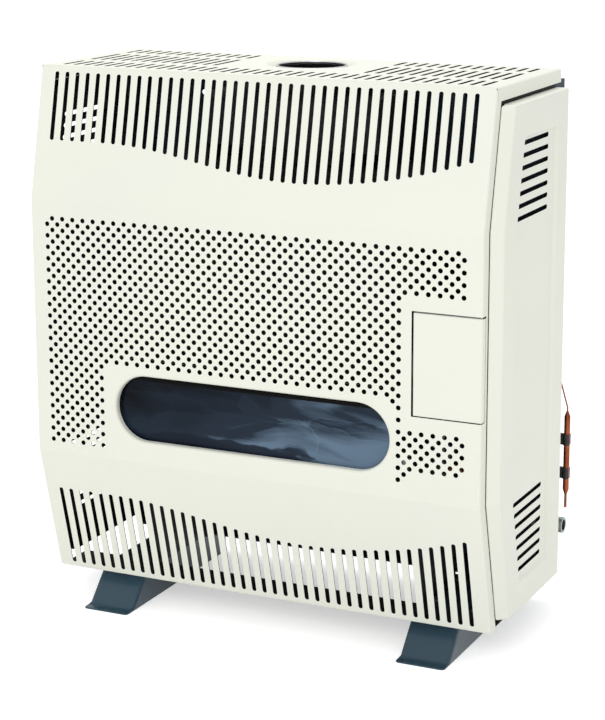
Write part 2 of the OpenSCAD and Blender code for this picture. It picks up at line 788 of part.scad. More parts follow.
// Places of the window's screws, from its centre
sight_screws_at = concat(
    [for (x = [-1.5:1:1.5], s = [-1, 1]) [x * ring_w / 4, s * (ring_h / 2 - 6)]],
    [for (z = [-1, 1], s = [-1, 1]) [s * (ring_w / 2 - 6), z * ring_h / 5]]
);

module chamber_plan(inset) translate([0, chamber_mid])
    rounded_rect(chamber_w - 2 * inset, chamber_d - 2 * inset, chamber_r - inset);

module ribs(r) for (i = [0:rib_count - 1]) translate([(i - (rib_count - 1) / 2) * rib_pitch, chamber_front, 0]) {
    translate([0, 0, rib_low]) cylinder(h = rib_high - rib_low, r = r);
    for (z = [rib_low, rib_high]) translate([0, 0, z]) sphere(r);
}

module combustion_chamber() color([0.13, 0.13, 0.14]) front_origin() difference() {
    union() {
        difference() {
            union() {
                extrude_z(chamber_low, chamber_high) chamber_plan(0);
                ribs(rib_r);
                translate([0, 0, glass_z]) extrude_y(neck_y + 0.5, chamber_mid) rounded_rect(neck_w, neck_h, 10);
                translate([0, throat_y]) extrude_z(chamber_high - 1, throat_top) rounded_rect(throat_w, throat_d, 12);
            }
            extrude_z(chamber_low + chamber_t, chamber_high - chamber_t) chamber_plan(chamber_t);
            extrude_z(chamber_low - 1, chamber_low + chamber_t + 1) chamber_plan(rim_w - 8);
            ribs(rib_r - chamber_t);
            translate([0, 0, glass_z]) extrude_y(0, chamber_mid)
                rounded_rect(neck_w - 2 * chamber_t, neck_h - 2 * chamber_t, 8);
            translate([0, throat_y]) extrude_z(chamber_high - 5, throat_top + 1)
                rounded_rect(throat_w - 2 * chamber_t, throat_d - 2 * chamber_t, 10);
        }
        translate([0, 0, glass_z]) extrude_y(neck_y, neck_y + ring_t) difference() {
            rounded_rect(ring_w, ring_h, 10);
            rounded_rect(neck_w - 2 * chamber_t, neck_h - 2 * chamber_t, 8);
            for (p = sight_screws_at) translate(p) circle(d = sight_screw_d + 2 * screw_gap);
        }
    }
    translate([half_chamber - 10, burner_y, burner_z]) rotate([0, 90, 0]) cylinder(h = 20, d = burner_d + 1);
}

module chamber_baffle() color([0.2, 0.2, 0.21]) front_origin() {
    y0 = chamber_front + chamber_t + 0.3;
    z0 = chamber_high - 100;
    extrude_x(-half_chamber + chamber_r, half_chamber - chamber_r) polygon([
        [y0, z0 - 30], [y0 + 1.5, z0 - 30], [y0 + 1.5, z0 - 1], [y0 + 94, z0 + 29], [y0 + 93.5, z0 + 30.5], [y0, z0]
    ]);
}

module chamber_support() {
    extrude_x(support_x, support_x + support_t) difference() {
        polygon([
            [support_front, base_h], [support_rear, base_h], [support_rear, chamber_low],
            [chamber_front + 8, chamber_low], [chamber_front + 8, chamber_low - 50], [support_front, base_h + 6]
        ]);
        // pipes and leads pass through here
        slot(pilot_y, chamber_low - 31, chamber_low - 4, 10);
    }
    block([support_x - 12, chamber_front + 18, chamber_low - support_t], [support_x + 10, chamber_rear - 18, chamber_low]);
    difference() {
        block([support_x, support_front, base_h], [support_x + 26, support_rear, base_h + support_t]);
        for (y = support_bolt_y) translate([support_bolt_x, y, base_h - 1])
            cylinder(h = 4, d = bolt_d + 2 * screw_gap);
    }
    block([support_x - 20, support_rear - support_t, base_h], [support_x + support_t, support_rear, chamber_low]);
}
module chamber_support_right() color(zinc) front_origin() chamber_support();
module chamber_support_left() color(zinc) front_origin() mirror([1, 0, 0]) chamber_support();

shield_t = 1;
module heat_shield() color(zinc) front_origin() {
    half = half_chamber + 7;
    low = chamber_low - 46;
    difference() {
        block([-half, support_rear - 15, low], [half, support_rear + shield_t, chamber_high - 4]);
        block([-half + shield_t, support_rear - 16, low - 1], [half - shield_t, support_rear, chamber_high]);
    }
}

// ---------- Viewing window ----------

frame_wall = 1.5;
frame_drop = 2;        // the frame's opening sits lower than the panel's, so its upper edge shows

module sight_glass() color([0.1, 0.12, 0.16]) front_origin() translate([0, 0, glass_z])
    extrude_y(glass_y, glass_y + glass_t) rounded_rect(glass_w, glass_h, 6);

module sight_gasket() color([0.8, 0.78, 0.72]) front_origin() translate([0, 0, glass_z])
    extrude_y(glass_y + glass_t, neck_y) difference() {
        rounded_rect(ring_w, ring_h, 10);
        rounded_rect(glass_w - 14, glass_h - 14, 8);
        for (p = sight_screws_at) translate(p) circle(d = sight_screw_d + 2 * screw_gap);
    }

module sight_frame() color(black) front_origin() translate([0, 0, glass_z]) {
    box_w = glass_w + 1;
    box_h = glass_h + 1;
    extrude_y(glass_y - frame_wall, glass_y + glass_t) difference() {
        rounded_rect(box_w + 2 * frame_wall, box_h + 2 * frame_wall, 8);
        rounded_rect(box_w, box_h, 6.5);
    }
    extrude_y(glass_y - frame_wall, glass_y) difference() {
        rounded_rect(box_w + 2 * frame_wall, box_h + 2 * frame_wall, 8);
        translate([0, -frame_drop]) rounded_rect(window_w - 4, window_h - 6, 12);
    }
    extrude_y(glass_y + glass_t - frame_wall, glass_y + glass_t) difference() {
        rounded_rect(ring_w, ring_h, 10);
        rounded_rect(box_w + frame_wall, box_h + frame_wall, 7);
        for (p = sight_screws_at) translate(p) circle(d = sight_screw_d + 2 * screw_gap);
    }
}

module sight_screws() color(zinc) front_origin() translate([0, glass_y + glass_t - frame_wall, glass_z])
    for (p = sight_screws_at) translate([p[0], 0, p[1]]) rotate([90, 0, 0]) screw(sight_screw_d, 9);

// ---------- Burner, injector and pilot ----------

burner_r = burner_d / 2;
burner_wall = 1.5;
burner_end = half_chamber - 20;
port_pitch = 8;
port_count = 2 * floor((burner_end - 13) / port_pitch) + 1;
bell_x = half_chamber + 2;
holder_x = half_chamber + 17;
arm_y = 34;

module on_burner_axis(x) translate([x, burner_y, burner_z]) rotate([0, 90, 0]) children();

module burner() color([0.7, 0.7, 0.7]) front_origin() difference() {
    union() {
        on_burner_axis(-burner_end) cylinder(h = burner_end + bell_x, r = burner_r);
        on_burner_axis(bell_x) cylinder(h = 6, r1 = burner_r, r2 = burner_r + 4);
        on_burner_axis(-half_chamber + chamber_t) cylinder(h = 20, r = 4);
    }
    on_burner_axis(-burner_end + burner_wall) cylinder(h = far, r = burner_r - burner_wall);
    on_burner_axis(bell_x) cylinder(h = 6.1, r1 = burner_r - burner_wall, r2 = burner_r + 4 - burner_wall);
    for (i = [0:port_count - 1]) {
        x = (i - (port_count - 1) / 2) * port_pitch;
        block([x - 1, burner_y - 12, burner_z + burner_r - 6], [x + 1, burner_y + 12, burner_z + burner_r + 1]);
    }
}

module burner_flange() color(zinc) front_origin() {
    t = 1.5;
    difference() {
        block([half_chamber, burner_y - arm_y - t, burner_z - 34], [half_chamber + t, burner_y + arm_y + t, burner_z + 34]);
        on_burner_axis(half_chamber - 1) cylinder(h = 5, r = burner_r + 0.2);
    }
    for (y = [burner_y - arm_y - t, burner_y + arm_y])
        block([half_chamber, y, burner_z - 10], [holder_x + 6, y + t, burner_z + 10]);
}

module injector_holder() color(brass) front_origin() difference() {
    union() {
        block([holder_x, burner_y - arm_y, burner_z - 8], [holder_x + 6, burner_y + arm_y, burner_z + 8]);
        on_burner_axis(holder_x) cylinder(h = 14, r = 9);
    }
    on_burner_axis(holder_x - 1) cylinder(h = 9, r = 3);
}

module injector() color(brass) front_origin() difference() {
    union() {
        on_burner_axis(holder_x - 4) cylinder(h = 4, r = 5.5, $fn = 6);
        on_burner_axis(holder_x - 8) cylinder(h = 5, r1 = 2, r2 = 4);
        on_burner_axis(holder_x - 1) cylinder(h = 7, r = 2.9);
    }
    on_burner_axis(holder_x - 9) cylinder(h = 20, r = 0.9);
}

pilot_x = half_chamber - 55;
pilot_gap = 12;
pilot_y = burner_y - 31;
shelf_z = burner_z + 14;
shelf_t = 1.5;
pilot_r = 4;
couple_r = 2.5;
spark_r = 3;

module pilot_bracket() color(zinc) front_origin() difference() {
    block([pilot_x - 22, pilot_y - 10, shelf_z],
          [pilot_x + 22, burner_y - sqrt(burner_r * burner_r - 14 * 14) - 0.1, shelf_z + shelf_t]);
    translate([pilot_x, pilot_y, shelf_z - 1]) cylinder(h = 4, r = pilot_r + screw_gap);
    translate([pilot_x + pilot_gap, pilot_y, shelf_z - 1]) cylinder(h = 4, r = couple_r + screw_gap);
    translate([pilot_x - pilot_gap, pilot_y, shelf_z - 1]) cylinder(h = 4, r = spark_r + screw_gap);
}

// Rod through the shelf, held by its collar
module shelf_rod(x, r, below, above, collar_r) translate([x, pilot_y, shelf_z]) {
    translate([0, 0, -below]) cylinder(h = below + above, r = r);
    translate([0, 0, shelf_t]) cylinder(h = 3, r = collar_r);
}

module pilot_burner() color(brass) front_origin() {
    shelf_rod(pilot_x, pilot_r, 6, 20, 6);
    translate([pilot_x, pilot_y, shelf_z + 20]) sphere(pilot_r);
}
module thermocouple() color(copper) front_origin() {
    shelf_rod(pilot_x + pilot_gap, couple_r, 4, 26, 4.5);
    translate([pilot_x + pilot_gap, pilot_y, shelf_z + 26]) sphere(couple_r);
}
module ignition_electrode() color([0.92, 0.9, 0.86]) front_origin() {
    shelf_rod(pilot_x - pilot_gap, spark_r, 4, 20, 5);
    translate([pilot_x - pilot_gap, pilot_y, shelf_z + 20]) cylinder(h = 9, r = 0.8);
}

// ---------- Flue: draught hood, baffle, spigot, spill switch ----------

hood_w = 240;
hood_front = flue_y - 61;
hood_rear = flue_y + 61;
hood_low = chamber_high + 18;
hood_top = casing_h - 34;
hood_slope = 8;
hood_t = 1;
switch_x = 60;
switch_z = chamber_high + 40;

module hood_profile(inset) polygon([
    [hood_front + inset, hood_low - inset], [hood_rear - inset, hood_low - inset],
    [hood_rear - inset, hood_top - hood_slope - inset / 2], [hood_rear - hood_slope - inset / 2, hood_top - inset],
    [hood_front + hood_slope + inset / 2, hood_top - inset], [hood_front + inset, hood_top - hood_slope - inset / 2]
]);

module draught_hood() color(zinc) front_origin() difference() {
    union() {
        extrude_x(-hood_w / 2, hood_w / 2) hood_profile(0);
        for (s = [-1, 1]) translate([s * (hood_w - hood_t) / 2, 0, 0])
            block([-hood_t / 2, hood_front, chamber_high], [hood_t / 2, chamber_rear, hood_low + 1]);
    }
    extrude_x(-hood_w / 2 + hood_t, hood_w / 2 - hood_t) hood_profile(hood_t);
    translate([0, flue_y, hood_top - 5]) cylinder(h = 10, r = flue_d / 2 + 0.2);
}

module diverter_baffle() color(zinc) front_origin() {
    half = hood_w / 2 - hood_t - 0.2;
    z = throat_top + 12;
    extrude_x(-half, half) polygon([
        [throat_y - 17, z - 1.2], [throat_y, z + 8.8], [throat_y + 30, z - 1.2],
        [throat_y + 30, z], [throat_y, z + 10], [throat_y - 17, z]
    ]);
}

module flue_spigot() color([0.82, 0.82, 0.83]) front_origin() translate([0, flue_y, 0]) {
    r = flue_d / 2;
    difference() {
        union() {
            translate([0, 0, spigot_top - flue_len]) cylinder(h = flue_len, r = r);
            translate([0, 0, hood_top]) cylinder(h = flue_wall, r = r + 7);
            translate([0, 0, spigot_top - 1]) rotate_extrude() translate([r - 0.2, 0]) circle(1, $fn = 24);
        }
        translate([0, 0, spigot_top - flue_len - 1]) cylinder(h = flue_len + 5, r = r - flue_wall);
    }
}

module spill_switch() color(black) front_origin() translate([switch_x, hood_rear, switch_z]) {
    rotate([-90, 0, 0]) cylinder(h = 1, d = 24);
    rotate([-90, 0, 0]) cylinder(h = 10, d = 16);
    for (s = [-1, 1]) translate([3 * s - 1, 9, -2]) cube([2, 9, 4]);
}

module spill_leads() color([0.7, 0.15, 0.12]) front_origin() for (s = [-1, 1]) {
    y = hood_rear + 18;
    away = y + 11 - 3 * s;
    z = chamber_high + 13 + 3 * s;
    x = valve_x - 19 + 3 * s;
    end_z = knob_z + 29 + 3 * s;
    routed_tube([[switch_x + 3 * s, y, switch_z], [switch_x + 3 * s, away, switch_z], [switch_x + 3 * s, away, z],
                 [x, away, z], [x, away, end_z], [x, valve_rear, end_z]], 1, 4);
}

// ---------- Gas valve, knob and igniter ----------

plate_y = 32;
plate_t = 1.5;
plate_left = door_left - 7;
plate_low = door_low - 8;
plate_high = door_high + 9;
valve_w = 64;
valve_h = 68;
valve_front = plate_y + plate_t;
valve_rear = valve_front + 70;
valve_z = knob_z + 2;
valve_low = valve_z - valve_h / 2;
spindle_r = spindle_d / 2;
spindle_front = 12;
spindle_end = 60;
plunger_r = 3;
plunger_end = spindle_end + 20;
knob_front = 8;
inlet_boss_z = knob_z - 9;
boss_h = 6;
outlet_x = valve_x + 20;
outlet_y = valve_front + 46;
pilot_out_x = valve_x - 20;
couple_x = valve_x - 28;
small_y = valve_front + 26;
valve_screw_x = 26;

module valve_bore(y0, y1, r) translate([valve_x, y0, knob_z]) rotate([-90, 0, 0]) cylinder(h = y1 - y0, r = r);

module gas_valve() color([0.66, 0.67, 0.68]) front_origin() difference() {
    union() {
        translate([valve_x, 0, valve_z]) extrude_y(valve_front + 4, valve_rear) rounded_rect(valve_w, valve_h, 6);
        valve_bore(valve_front, valve_front + 5, 14);
        for (s = [-1, 1]) translate([valve_x + s * valve_screw_x, valve_front, knob_z])
            rotate([-90, 0, 0]) cylinder(h = 5, r = 5);
        for (i = [0:3]) translate([valve_x, 0, valve_z]) extrude_y(valve_front + 14 + 14 * i, valve_front + 18 + 14 * i)
            rounded_rect(valve_w + 4, valve_h + 4, 8);
        translate([valve_x, valve_rear, inlet_boss_z]) rotate([-90, 0, 0]) cylinder(h = 8, r = 11);
        translate([outlet_x, outlet_y, valve_low - boss_h]) cylinder(h = boss_h + 1, r = 8);
        for (x = [pilot_out_x, couple_x]) translate([x, small_y, valve_low - boss_h]) cylinder(h = boss_h + 1, r = 3.5);
        translate([valve_x + 12, outlet_y, valve_z + valve_h / 2]) cylinder(h = 7, r = 9);
    }
    valve_bore(0, spindle_end + knob_travel + 1, spindle_r + run);
    valve_bore(0, plunger_end + knob_travel + 1, plunger_r + run);
    for (s = [-1, 1]) translate([valve_x + s * valve_screw_x, valve_front - 1, knob_z])
        rotate([-90, 0, 0]) cylinder(h = 12, d = plate_screw_d + 2 * screw_gap);
}

module valve_spindle() color(zinc) front_origin() valve_bore(spindle_front, spindle_end, spindle_r);
module safety_plunger() color(brass) front_origin() valve_bore(spindle_end, plunger_end, plunger_r);

module control_knob() color([0.16, 0.16, 0.17]) front_origin() {
    r = knob_d / 2;
    translate([valve_x, knob_front + knob_len, knob_z]) rotate([90, 0, 0]) difference() {
        union() {
            cylinder(h = 5.5, r = r);
            cylinder(h = knob_len - 1, r = r - 4);
            translate([0, 0, knob_len - 1]) cylinder(h = 1, r1 = r - 4, r2 = r - 5);
        }
        translate([0, 0, -1]) cylinder(h = knob_front + knob_len - spindle_front + 1, r = spindle_r);
        for (a = [0:20:340]) rotate(a) translate([r - 3.3, 0, 7]) cylinder(h = knob_len, r = 1.7);
        translate([0, 0, -1]) difference() {
            cylinder(h = 4, r = r - 3);
            cylinder(h = 4, r = spindle_r + 4);
        }
    }
}

module control_plate() color([0.8, 0.8, 0.78]) front_origin() difference() {
    union() {
        block([plate_left, plate_y, plate_low], [half_frame - frame_t, plate_y + plate_t, plate_high]);
        block([half_frame - frame_t - plate_t, plate_y, knob_z - 60], [half_frame - frame_t, frame_y + 20, knob_z + 40]);
    }
    translate([valve_x, plate_y - 1, knob_z]) rotate([-90, 0, 0]) cylinder(h = plate_t + 2, r = spindle_r + 0.5);
    for (s = [-1, 1]) translate([valve_x + s * valve_screw_x, plate_y - 1, knob_z])
        rotate([-90, 0, 0]) cylinder(h = plate_t + 2, d = plate_screw_d + 2 * screw_gap);
    translate([valve_x, plate_y - 1, piezo_z]) rotate([-90, 0, 0]) cylinder(h = plate_t + 2, r = piezo_neck_r + 0.2);
    for (z = frame_screw_z) translate([half_frame - 10, frame_screw_y, z])
        rotate([0, 90, 0]) cylinder(h = 20, d = plate_screw_d + 2 * screw_gap);
    extrude_x(half_frame - 10, half_frame + 10) for (z = [knob_z - 38, knob_z + 2])
        translate([(plate_y + frame_y) / 2, z + 9]) stadium(120, 26);
}

module plate_screws() color(zinc) front_origin() {
    for (s = [-1, 1]) translate([valve_x + s * valve_screw_x, plate_y, knob_z])
        rotate([90, 0, 0]) screw(plate_screw_d, 10);
    for (z = frame_screw_z) translate([half_frame, frame_screw_y, z]) rotate([0, 90, 0]) screw(plate_screw_d, 8);
}

piezo_r = piezo_d / 2;
piezo_neck_r = piezo_r + 2.5;
piezo_front = 13;
piezo_neck_y = plate_y - 7;
piezo_rear = plate_y + 48;

module on_piezo_axis(y) translate([valve_x, y, piezo_z]) rotate([-90, 0, 0]) children();

module piezo_igniter() color([0.2, 0.2, 0.22]) front_origin() difference() {
    union() {
        on_piezo_axis(piezo_neck_y) cylinder(h = 20, r = piezo_neck_r);
        on_piezo_axis(valve_front) cylinder(h = piezo_rear - valve_front, r = piezo_neck_r + 3);
        on_piezo_axis(piezo_rear) cylinder(h = 6, r = 3);
    }
    on_piezo_axis(piezo_neck_y - 1) cylinder(h = 36 + piezo_travel, r = piezo_r + run);
}
module piezo_nut() color(zinc) front_origin() difference() {
    on_piezo_axis(plate_y - 4) cylinder(h = 4, r = piezo_neck_r + 5, $fn = 6);
    on_piezo_axis(plate_y - 5) cylinder(h = 6, r = piezo_neck_r + run);
}
module piezo_button() color([0.75, 0.12, 0.1]) front_origin() {
    on_piezo_axis(piezo_front + 1) cylinder(h = 33, r = piezo_r);
    on_piezo_axis(piezo_front) cylinder(h = 1, r1 = piezo_r - 1, r2 = piezo_r);
}

// ---------- Pipes and leads ----------

inlet_end = half_frame + 17.5;
thread_len = 16.5;
stub_x = half_frame - 25;
pipe_r = 6;
pipe_drop_y = valve_rear + 56;

module inlet_fitting() color(brass) front_origin() translate([0, inlet_y, inlet_z]) difference() {
    union() {
        // smooth neck through the frame, then the thread outside it
        translate([stub_x, 0, 0]) rotate([0, 90, 0]) cylinder(h = inlet_end - stub_x - 5, d = inlet_d - 2.2);
        translate([inlet_end - thread_len, 0, 0]) rotate([0, 90, 0]) cylinder(h = thread_len, d = inlet_d);
        translate([half_frame - frame_t - 8, 0, 0]) rotate([0, 90, 0]) cylinder(h = 8, r = 12 / cos(30), $fn = 6);
    }
    translate([stub_x + 6, 0, 0]) rotate([0, 90, 0]) cylinder(h = far, d = inlet_bore);
}

module inlet_pipe() color(copper) front_origin() routed_tube([
    [stub_x, inlet_y, inlet_z], [valve_x, inlet_y, inlet_z], [valve_x, pipe_drop_y, inlet_z],
    [valve_x, pipe_drop_y, inlet_boss_z], [valve_x, valve_rear + 8, inlet_boss_z]
], pipe_r, 13);

module union_nut() color(brass) front_origin() translate([valve_x, valve_rear + 8, inlet_boss_z])
    rotate([-90, 0, 0]) difference() {
        cylinder(h = 12, r = 12, $fn = 6);
        translate([0, 0, -1]) cylinder(h = 14, r = pipe_r + run);
    }

module feed_pipe() color(copper) front_origin() routed_tube([
    [outlet_x, outlet_y, valve_low - boss_h], [outlet_x, outlet_y, burner_z],
    [outlet_x, burner_y, burner_z], [holder_x + 14, burner_y, burner_z]
], 4, 8);

module pilot_pipe() color([0.75, 0.76, 0.78]) front_origin() routed_tube([
    [pilot_x, pilot_y, shelf_z - 6], [pilot_x, pilot_y, chamber_low - 16],
    [pilot_out_x, pilot_y, chamber_low - 16], [pilot_out_x, small_y, chamber_low - 16],
    [pilot_out_x, small_y, valve_low - boss_h]
], 2, 7);

module thermocouple_lead() color(copper) front_origin() routed_tube([
    [pilot_x + pilot_gap, pilot_y, shelf_z - 4], [pilot_x + pilot_gap, pilot_y, chamber_low - 9],
    [couple_x, pilot_y, chamber_low - 9], [couple_x, small_y, chamber_low - 9],
    [couple_x, small_y, valve_low - boss_h]
], 1, 6);

module ignition_lead() color([0.75, 0.2, 0.1]) front_origin() routed_tube([
    [pilot_x - pilot_gap, pilot_y, shelf_z - 4], [pilot_x - pilot_gap, pilot_y, chamber_low - 24],
    [valve_x, pilot_y, chamber_low - 24], [valve_x, pilot_y, piezo_z], [valve_x, piezo_rear + 6, piezo_z]
], 2.5, 8);

// ---------- Thermostat bulb ----------

bulb_x = half_frame + 17;
bulb_y = overall_d - 7;
bulb_r = bulb_d / 2;
neck_len = 7;
tail_len = 18;
clip_h = 15;
clip_z = [bulb_z + 15, bulb_z + 61];
clip_t = 1.2;

// The capillary leans towards the frame, then turns in through the frame's hole
capillary_z = bulb_z + bulb_len + neck_len + 5;
lean_end = [bulb_x - 14, bulb_y, capillary_z + 48];
inner_bend = [lean_end[0] - 19, bulb_y, lean_end[2] + 14.25];
capillary_hole_z = lean_end[2] + 0.75 * (lean_end[0] - half_frame) + 1;

module thermostat_bulb() color(copper) front_origin() translate([bulb_x, bulb_y, 0]) {
    translate([0, 0, bulb_z]) cylinder(h = bulb_len, r = bulb_r);
    translate([0, 0, bulb_z - neck_len]) cylinder(h = neck_len, r1 = 1.7, r2 = bulb_r);
    translate([0, 0, bulb_z + bulb_len]) cylinder(h = neck_len, r1 = bulb_r, r2 = 1.3);
    translate([0, 0, bulb_z - neck_len - tail_len]) cylinder(h = tail_len, r = 1.7);
}

// Its slanting runs meet in small knuckles
module capillary_tube() color(copper) front_origin() {
    points = [[bulb_x, bulb_y, capillary_z - 5], [bulb_x, bulb_y, capillary_z], lean_end, inner_bend];
    for (i = [0:2]) {
        rod(points[i], points[i + 1], 1);
        translate(points[i + 1]) sphere(1.15, $fn = 24);
    }
    routed_tube([inner_bend, [inner_bend[0], bulb_y, knob_z + 6], [inner_bend[0], valve_rear, knob_z + 6]], 1, 20);
}

module bulb_clips() color(black) front_origin() for (z = clip_z) extrude_z(z, z + clip_h) {
    translate([half_frame, bulb_y - 6]) square([2, 12]);
    translate([half_frame + 1, bulb_y - 2]) square([bulb_x - half_frame - bulb_r - 1.1, 4]);
    translate([bulb_x, bulb_y]) difference() {
        circle(bulb_r + clip_t);
        circle(bulb_r);
        polygon([[0, 0], [20, -14], [20, 14]]);
    }
}

// ---------- Assembly ----------

front_panel();
top_panel();
side_panel_left();
side_panel_right();
control_door();
hinge_pins();
door_magnet();
side_panel_screws();
foot_left();
foot_right();
rear_frame();
foot_bolts();
chamber_support_left();
chamber_support_right();
heat_shield();
control_plate();
plate_screws();
sight_glass();
sight_frame();
sight_gasket();
sight_screws();
combustion_chamber();
chamber_baffle();
burner();
burner_flange();
injector();
injector_holder();
pilot_bracket();
pilot_burner();
thermocouple();
ignition_electrode();
draught_hood();
diverter_baffle();
flue_spigot();
spill_switch();
spill_leads();
gas_valve();
valve_spindle();
safety_plunger();
control_knob();
piezo_igniter();
piezo_nut();
piezo_button();
inlet_fitting();
inlet_pipe();
union_nut();
feed_pipe();
pilot_pipe();
thermocouple_lead();
ignition_lead();
capillary_tube();
thermostat_bulb();
bulb_clips();
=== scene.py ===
# %% [markdown]
# # A gas room heater in Blender
#
# The heater is a casing of folded steel sheet on two feet. Its shapes and its moving joints come from a CAD
# model. This notebook dresses that model: it folds the cream panels out of punched sheet, gives every piece a
# finish, and sets up a plain studio.

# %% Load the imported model
import json
import math

import bmesh
import bpy
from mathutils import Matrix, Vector


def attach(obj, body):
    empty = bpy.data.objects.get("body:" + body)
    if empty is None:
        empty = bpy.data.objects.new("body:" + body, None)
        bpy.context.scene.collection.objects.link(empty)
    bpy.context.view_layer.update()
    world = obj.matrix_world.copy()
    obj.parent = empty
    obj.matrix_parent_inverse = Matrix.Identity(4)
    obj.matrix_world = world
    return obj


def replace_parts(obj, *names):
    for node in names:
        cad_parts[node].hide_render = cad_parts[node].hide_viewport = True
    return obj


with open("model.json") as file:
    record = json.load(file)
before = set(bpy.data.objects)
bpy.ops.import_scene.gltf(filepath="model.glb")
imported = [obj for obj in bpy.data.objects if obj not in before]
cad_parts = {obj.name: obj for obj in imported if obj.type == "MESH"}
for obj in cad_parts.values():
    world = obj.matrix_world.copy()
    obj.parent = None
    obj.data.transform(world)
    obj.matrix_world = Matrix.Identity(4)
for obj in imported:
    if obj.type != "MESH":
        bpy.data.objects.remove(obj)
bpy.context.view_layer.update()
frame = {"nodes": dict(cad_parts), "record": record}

# %% [markdown]
# ## Sizes
#
# All sizes are in millimetres, as a sheet-metal worker would write them, and turn into metres only when a mesh
# is made. Depths are counted from the front face towards the wall. The round holes and the slots are a little
# wider than in the CAD model, as they look in the photograph.

# %% The heater's sizes
MM = 0.001
FRONT_Y = -154.0
SHEET = 1.2
HALF_FRONT = 309.0
FOLD = 3.0
BASE = 46.0
TOP = 720.0
BEND_LOW = 220.0
BEND_HIGH = 553.0
LEAN_LOW = 45.0
LEAN_HIGH = 37.0
SLOT_PITCH = 15.0
SLOT_X = [(i - 19) * SLOT_PITCH for i in range(39)]
HOLE_R = 3.15
SLOT_R = 3.0
RING_POINTS = 16


def place(x, depth, z):
    """Point of the heater in metres, from its sideways place, depth and height in millimetres."""
    return Vector((x * MM, (FRONT_Y + depth) * MM, z * MM))


# %% [markdown]
# ## Colours and node groups
#
# A photograph gives colours as screen values, and Blender's shaders want linear light, so one helper converts
# them. Effects that several finishes share, such as the fine skin of a baked enamel or the crystals of a zinc
# coat, are node groups with named inputs. A group gives out colours, values and normals only, and each finish
# keeps its own Principled shader.

# %% Colour helper
def screen(r, g, b):
    """Linear colour of a screen colour given from 0 to 255."""
    def one(c):
        c /= 255
        return c / 12.92 if c <= 0.04045 else ((c + 0.055) / 1.055) ** 2.4
    return (one(r), one(g), one(b), 1.0)


# %% Small tools for node trees
FLOAT, COLOUR, VECTOR, COUNT = "NodeSocketFloat", "NodeSocketColor", "NodeSocketVector", "NodeSocketInt"
SHAPE, MATERIAL = "NodeSocketGeometry", "NodeSocketMaterial"


def add_node(tree, kind, values=None, **settings):
    """New node. settings are its own options, and values are the numbers on its inputs."""
    node = tree.nodes.new(kind)
    for key, value in settings.items():
        setattr(node, key, value)
    for key, value in (values or {}).items():
        node.inputs[key].default_value = value
    return node


def wire(tree, *links):
    """Links nodes. Each link is a node, its output, the next node and its input."""
    for source, output, target, entry in links:
        tree.links.new(source.outputs[output], target.inputs[entry])


def new_group(name, kind, inputs, outputs):
    """Node group with named inputs {name: (type, default)} and outputs {name: type}."""
    group = bpy.data.node_groups.new(name, kind)
    for key, (socket_type, default) in inputs.items():
        socket = group.interface.new_socket(key, in_out="INPUT", socket_type=socket_type)
        if default is not None:
            socket.default_value = default
    for key, socket_type in outputs.items():
        group.interface.new_socket(key, in_out="OUTPUT", socket_type=socket_type)
    return group, group.nodes.new("NodeGroupInput"), group.nodes.new("NodeGroupOutput")


# %% Group: the skin of a baked enamel or powder coat
GREY = (0.5, 0.5, 0.5, 1.0)
SKIN_OUTPUTS = {"Colour": COLOUR, "Roughness": FLOAT, "Normal": VECTOR}


def make_enamel_skin():
    g, i, o = new_group(
        "Enamel skin", "ShaderNodeTree",
        {"Paint": (COLOUR, GREY), "Shade": (COLOUR, GREY), "Orange peel scale": (FLOAT, 900.0),
         "Orange peel height": (FLOAT, 0.05), "Gloss": (FLOAT, 0.35), "Gloss spread": (FLOAT, 0.06)},
        SKIN_OUTPUTS)
    where = add_node(g, "ShaderNodeTexCoord")
    cloud = add_node(g, "ShaderNodeTexNoise", {"Scale": 3.5, "Detail": 3.0})
    spread = add_node(g, "ShaderNodeMapRange", {"From Min": 0.35, "From Max": 0.7})
    tint = add_node(g, "ShaderNodeMix", data_type="RGBA")
    peel = add_node(g, "ShaderNodeTexNoise", {"Detail": 2.0})
    bump = add_node(g, "ShaderNodeBump", {"Distance": 0.0004})
    smear = add_node(g, "ShaderNodeTexNoise", {"Scale": 14.0})
    centre = add_node(g, "ShaderNodeMath", {1: 0.5}, operation="SUBTRACT")
    swing = add_node(g, "ShaderNodeMath", operation="MULTIPLY_ADD")
    wire(g, (where, "Object", cloud, "Vector"), (cloud, "Fac", spread, "Value"),
         (spread, "Result", tint, "Factor"), (i, "Paint", tint, "A"), (i, "Shade", tint, "B"),
         (tint, "Result", o, "Colour"),
         (where, "Object", peel, "Vector"), (i, "Orange peel scale", peel, "Scale"),
         (peel, "Fac", bump, "Height"), (i, "Orange peel height", bump, "Strength"),
         (bump, "Normal", o, "Normal"),
         (where, "Object", smear, "Vector"), (smear, "Fac", centre, 0), (centre, 0, swing, 0),
         (i, "Gloss spread", swing, 1), (i, "Gloss", swing, 2), (swing, 0, o, "Roughness"))
    return g


ENAMEL_SKIN = make_enamel_skin()


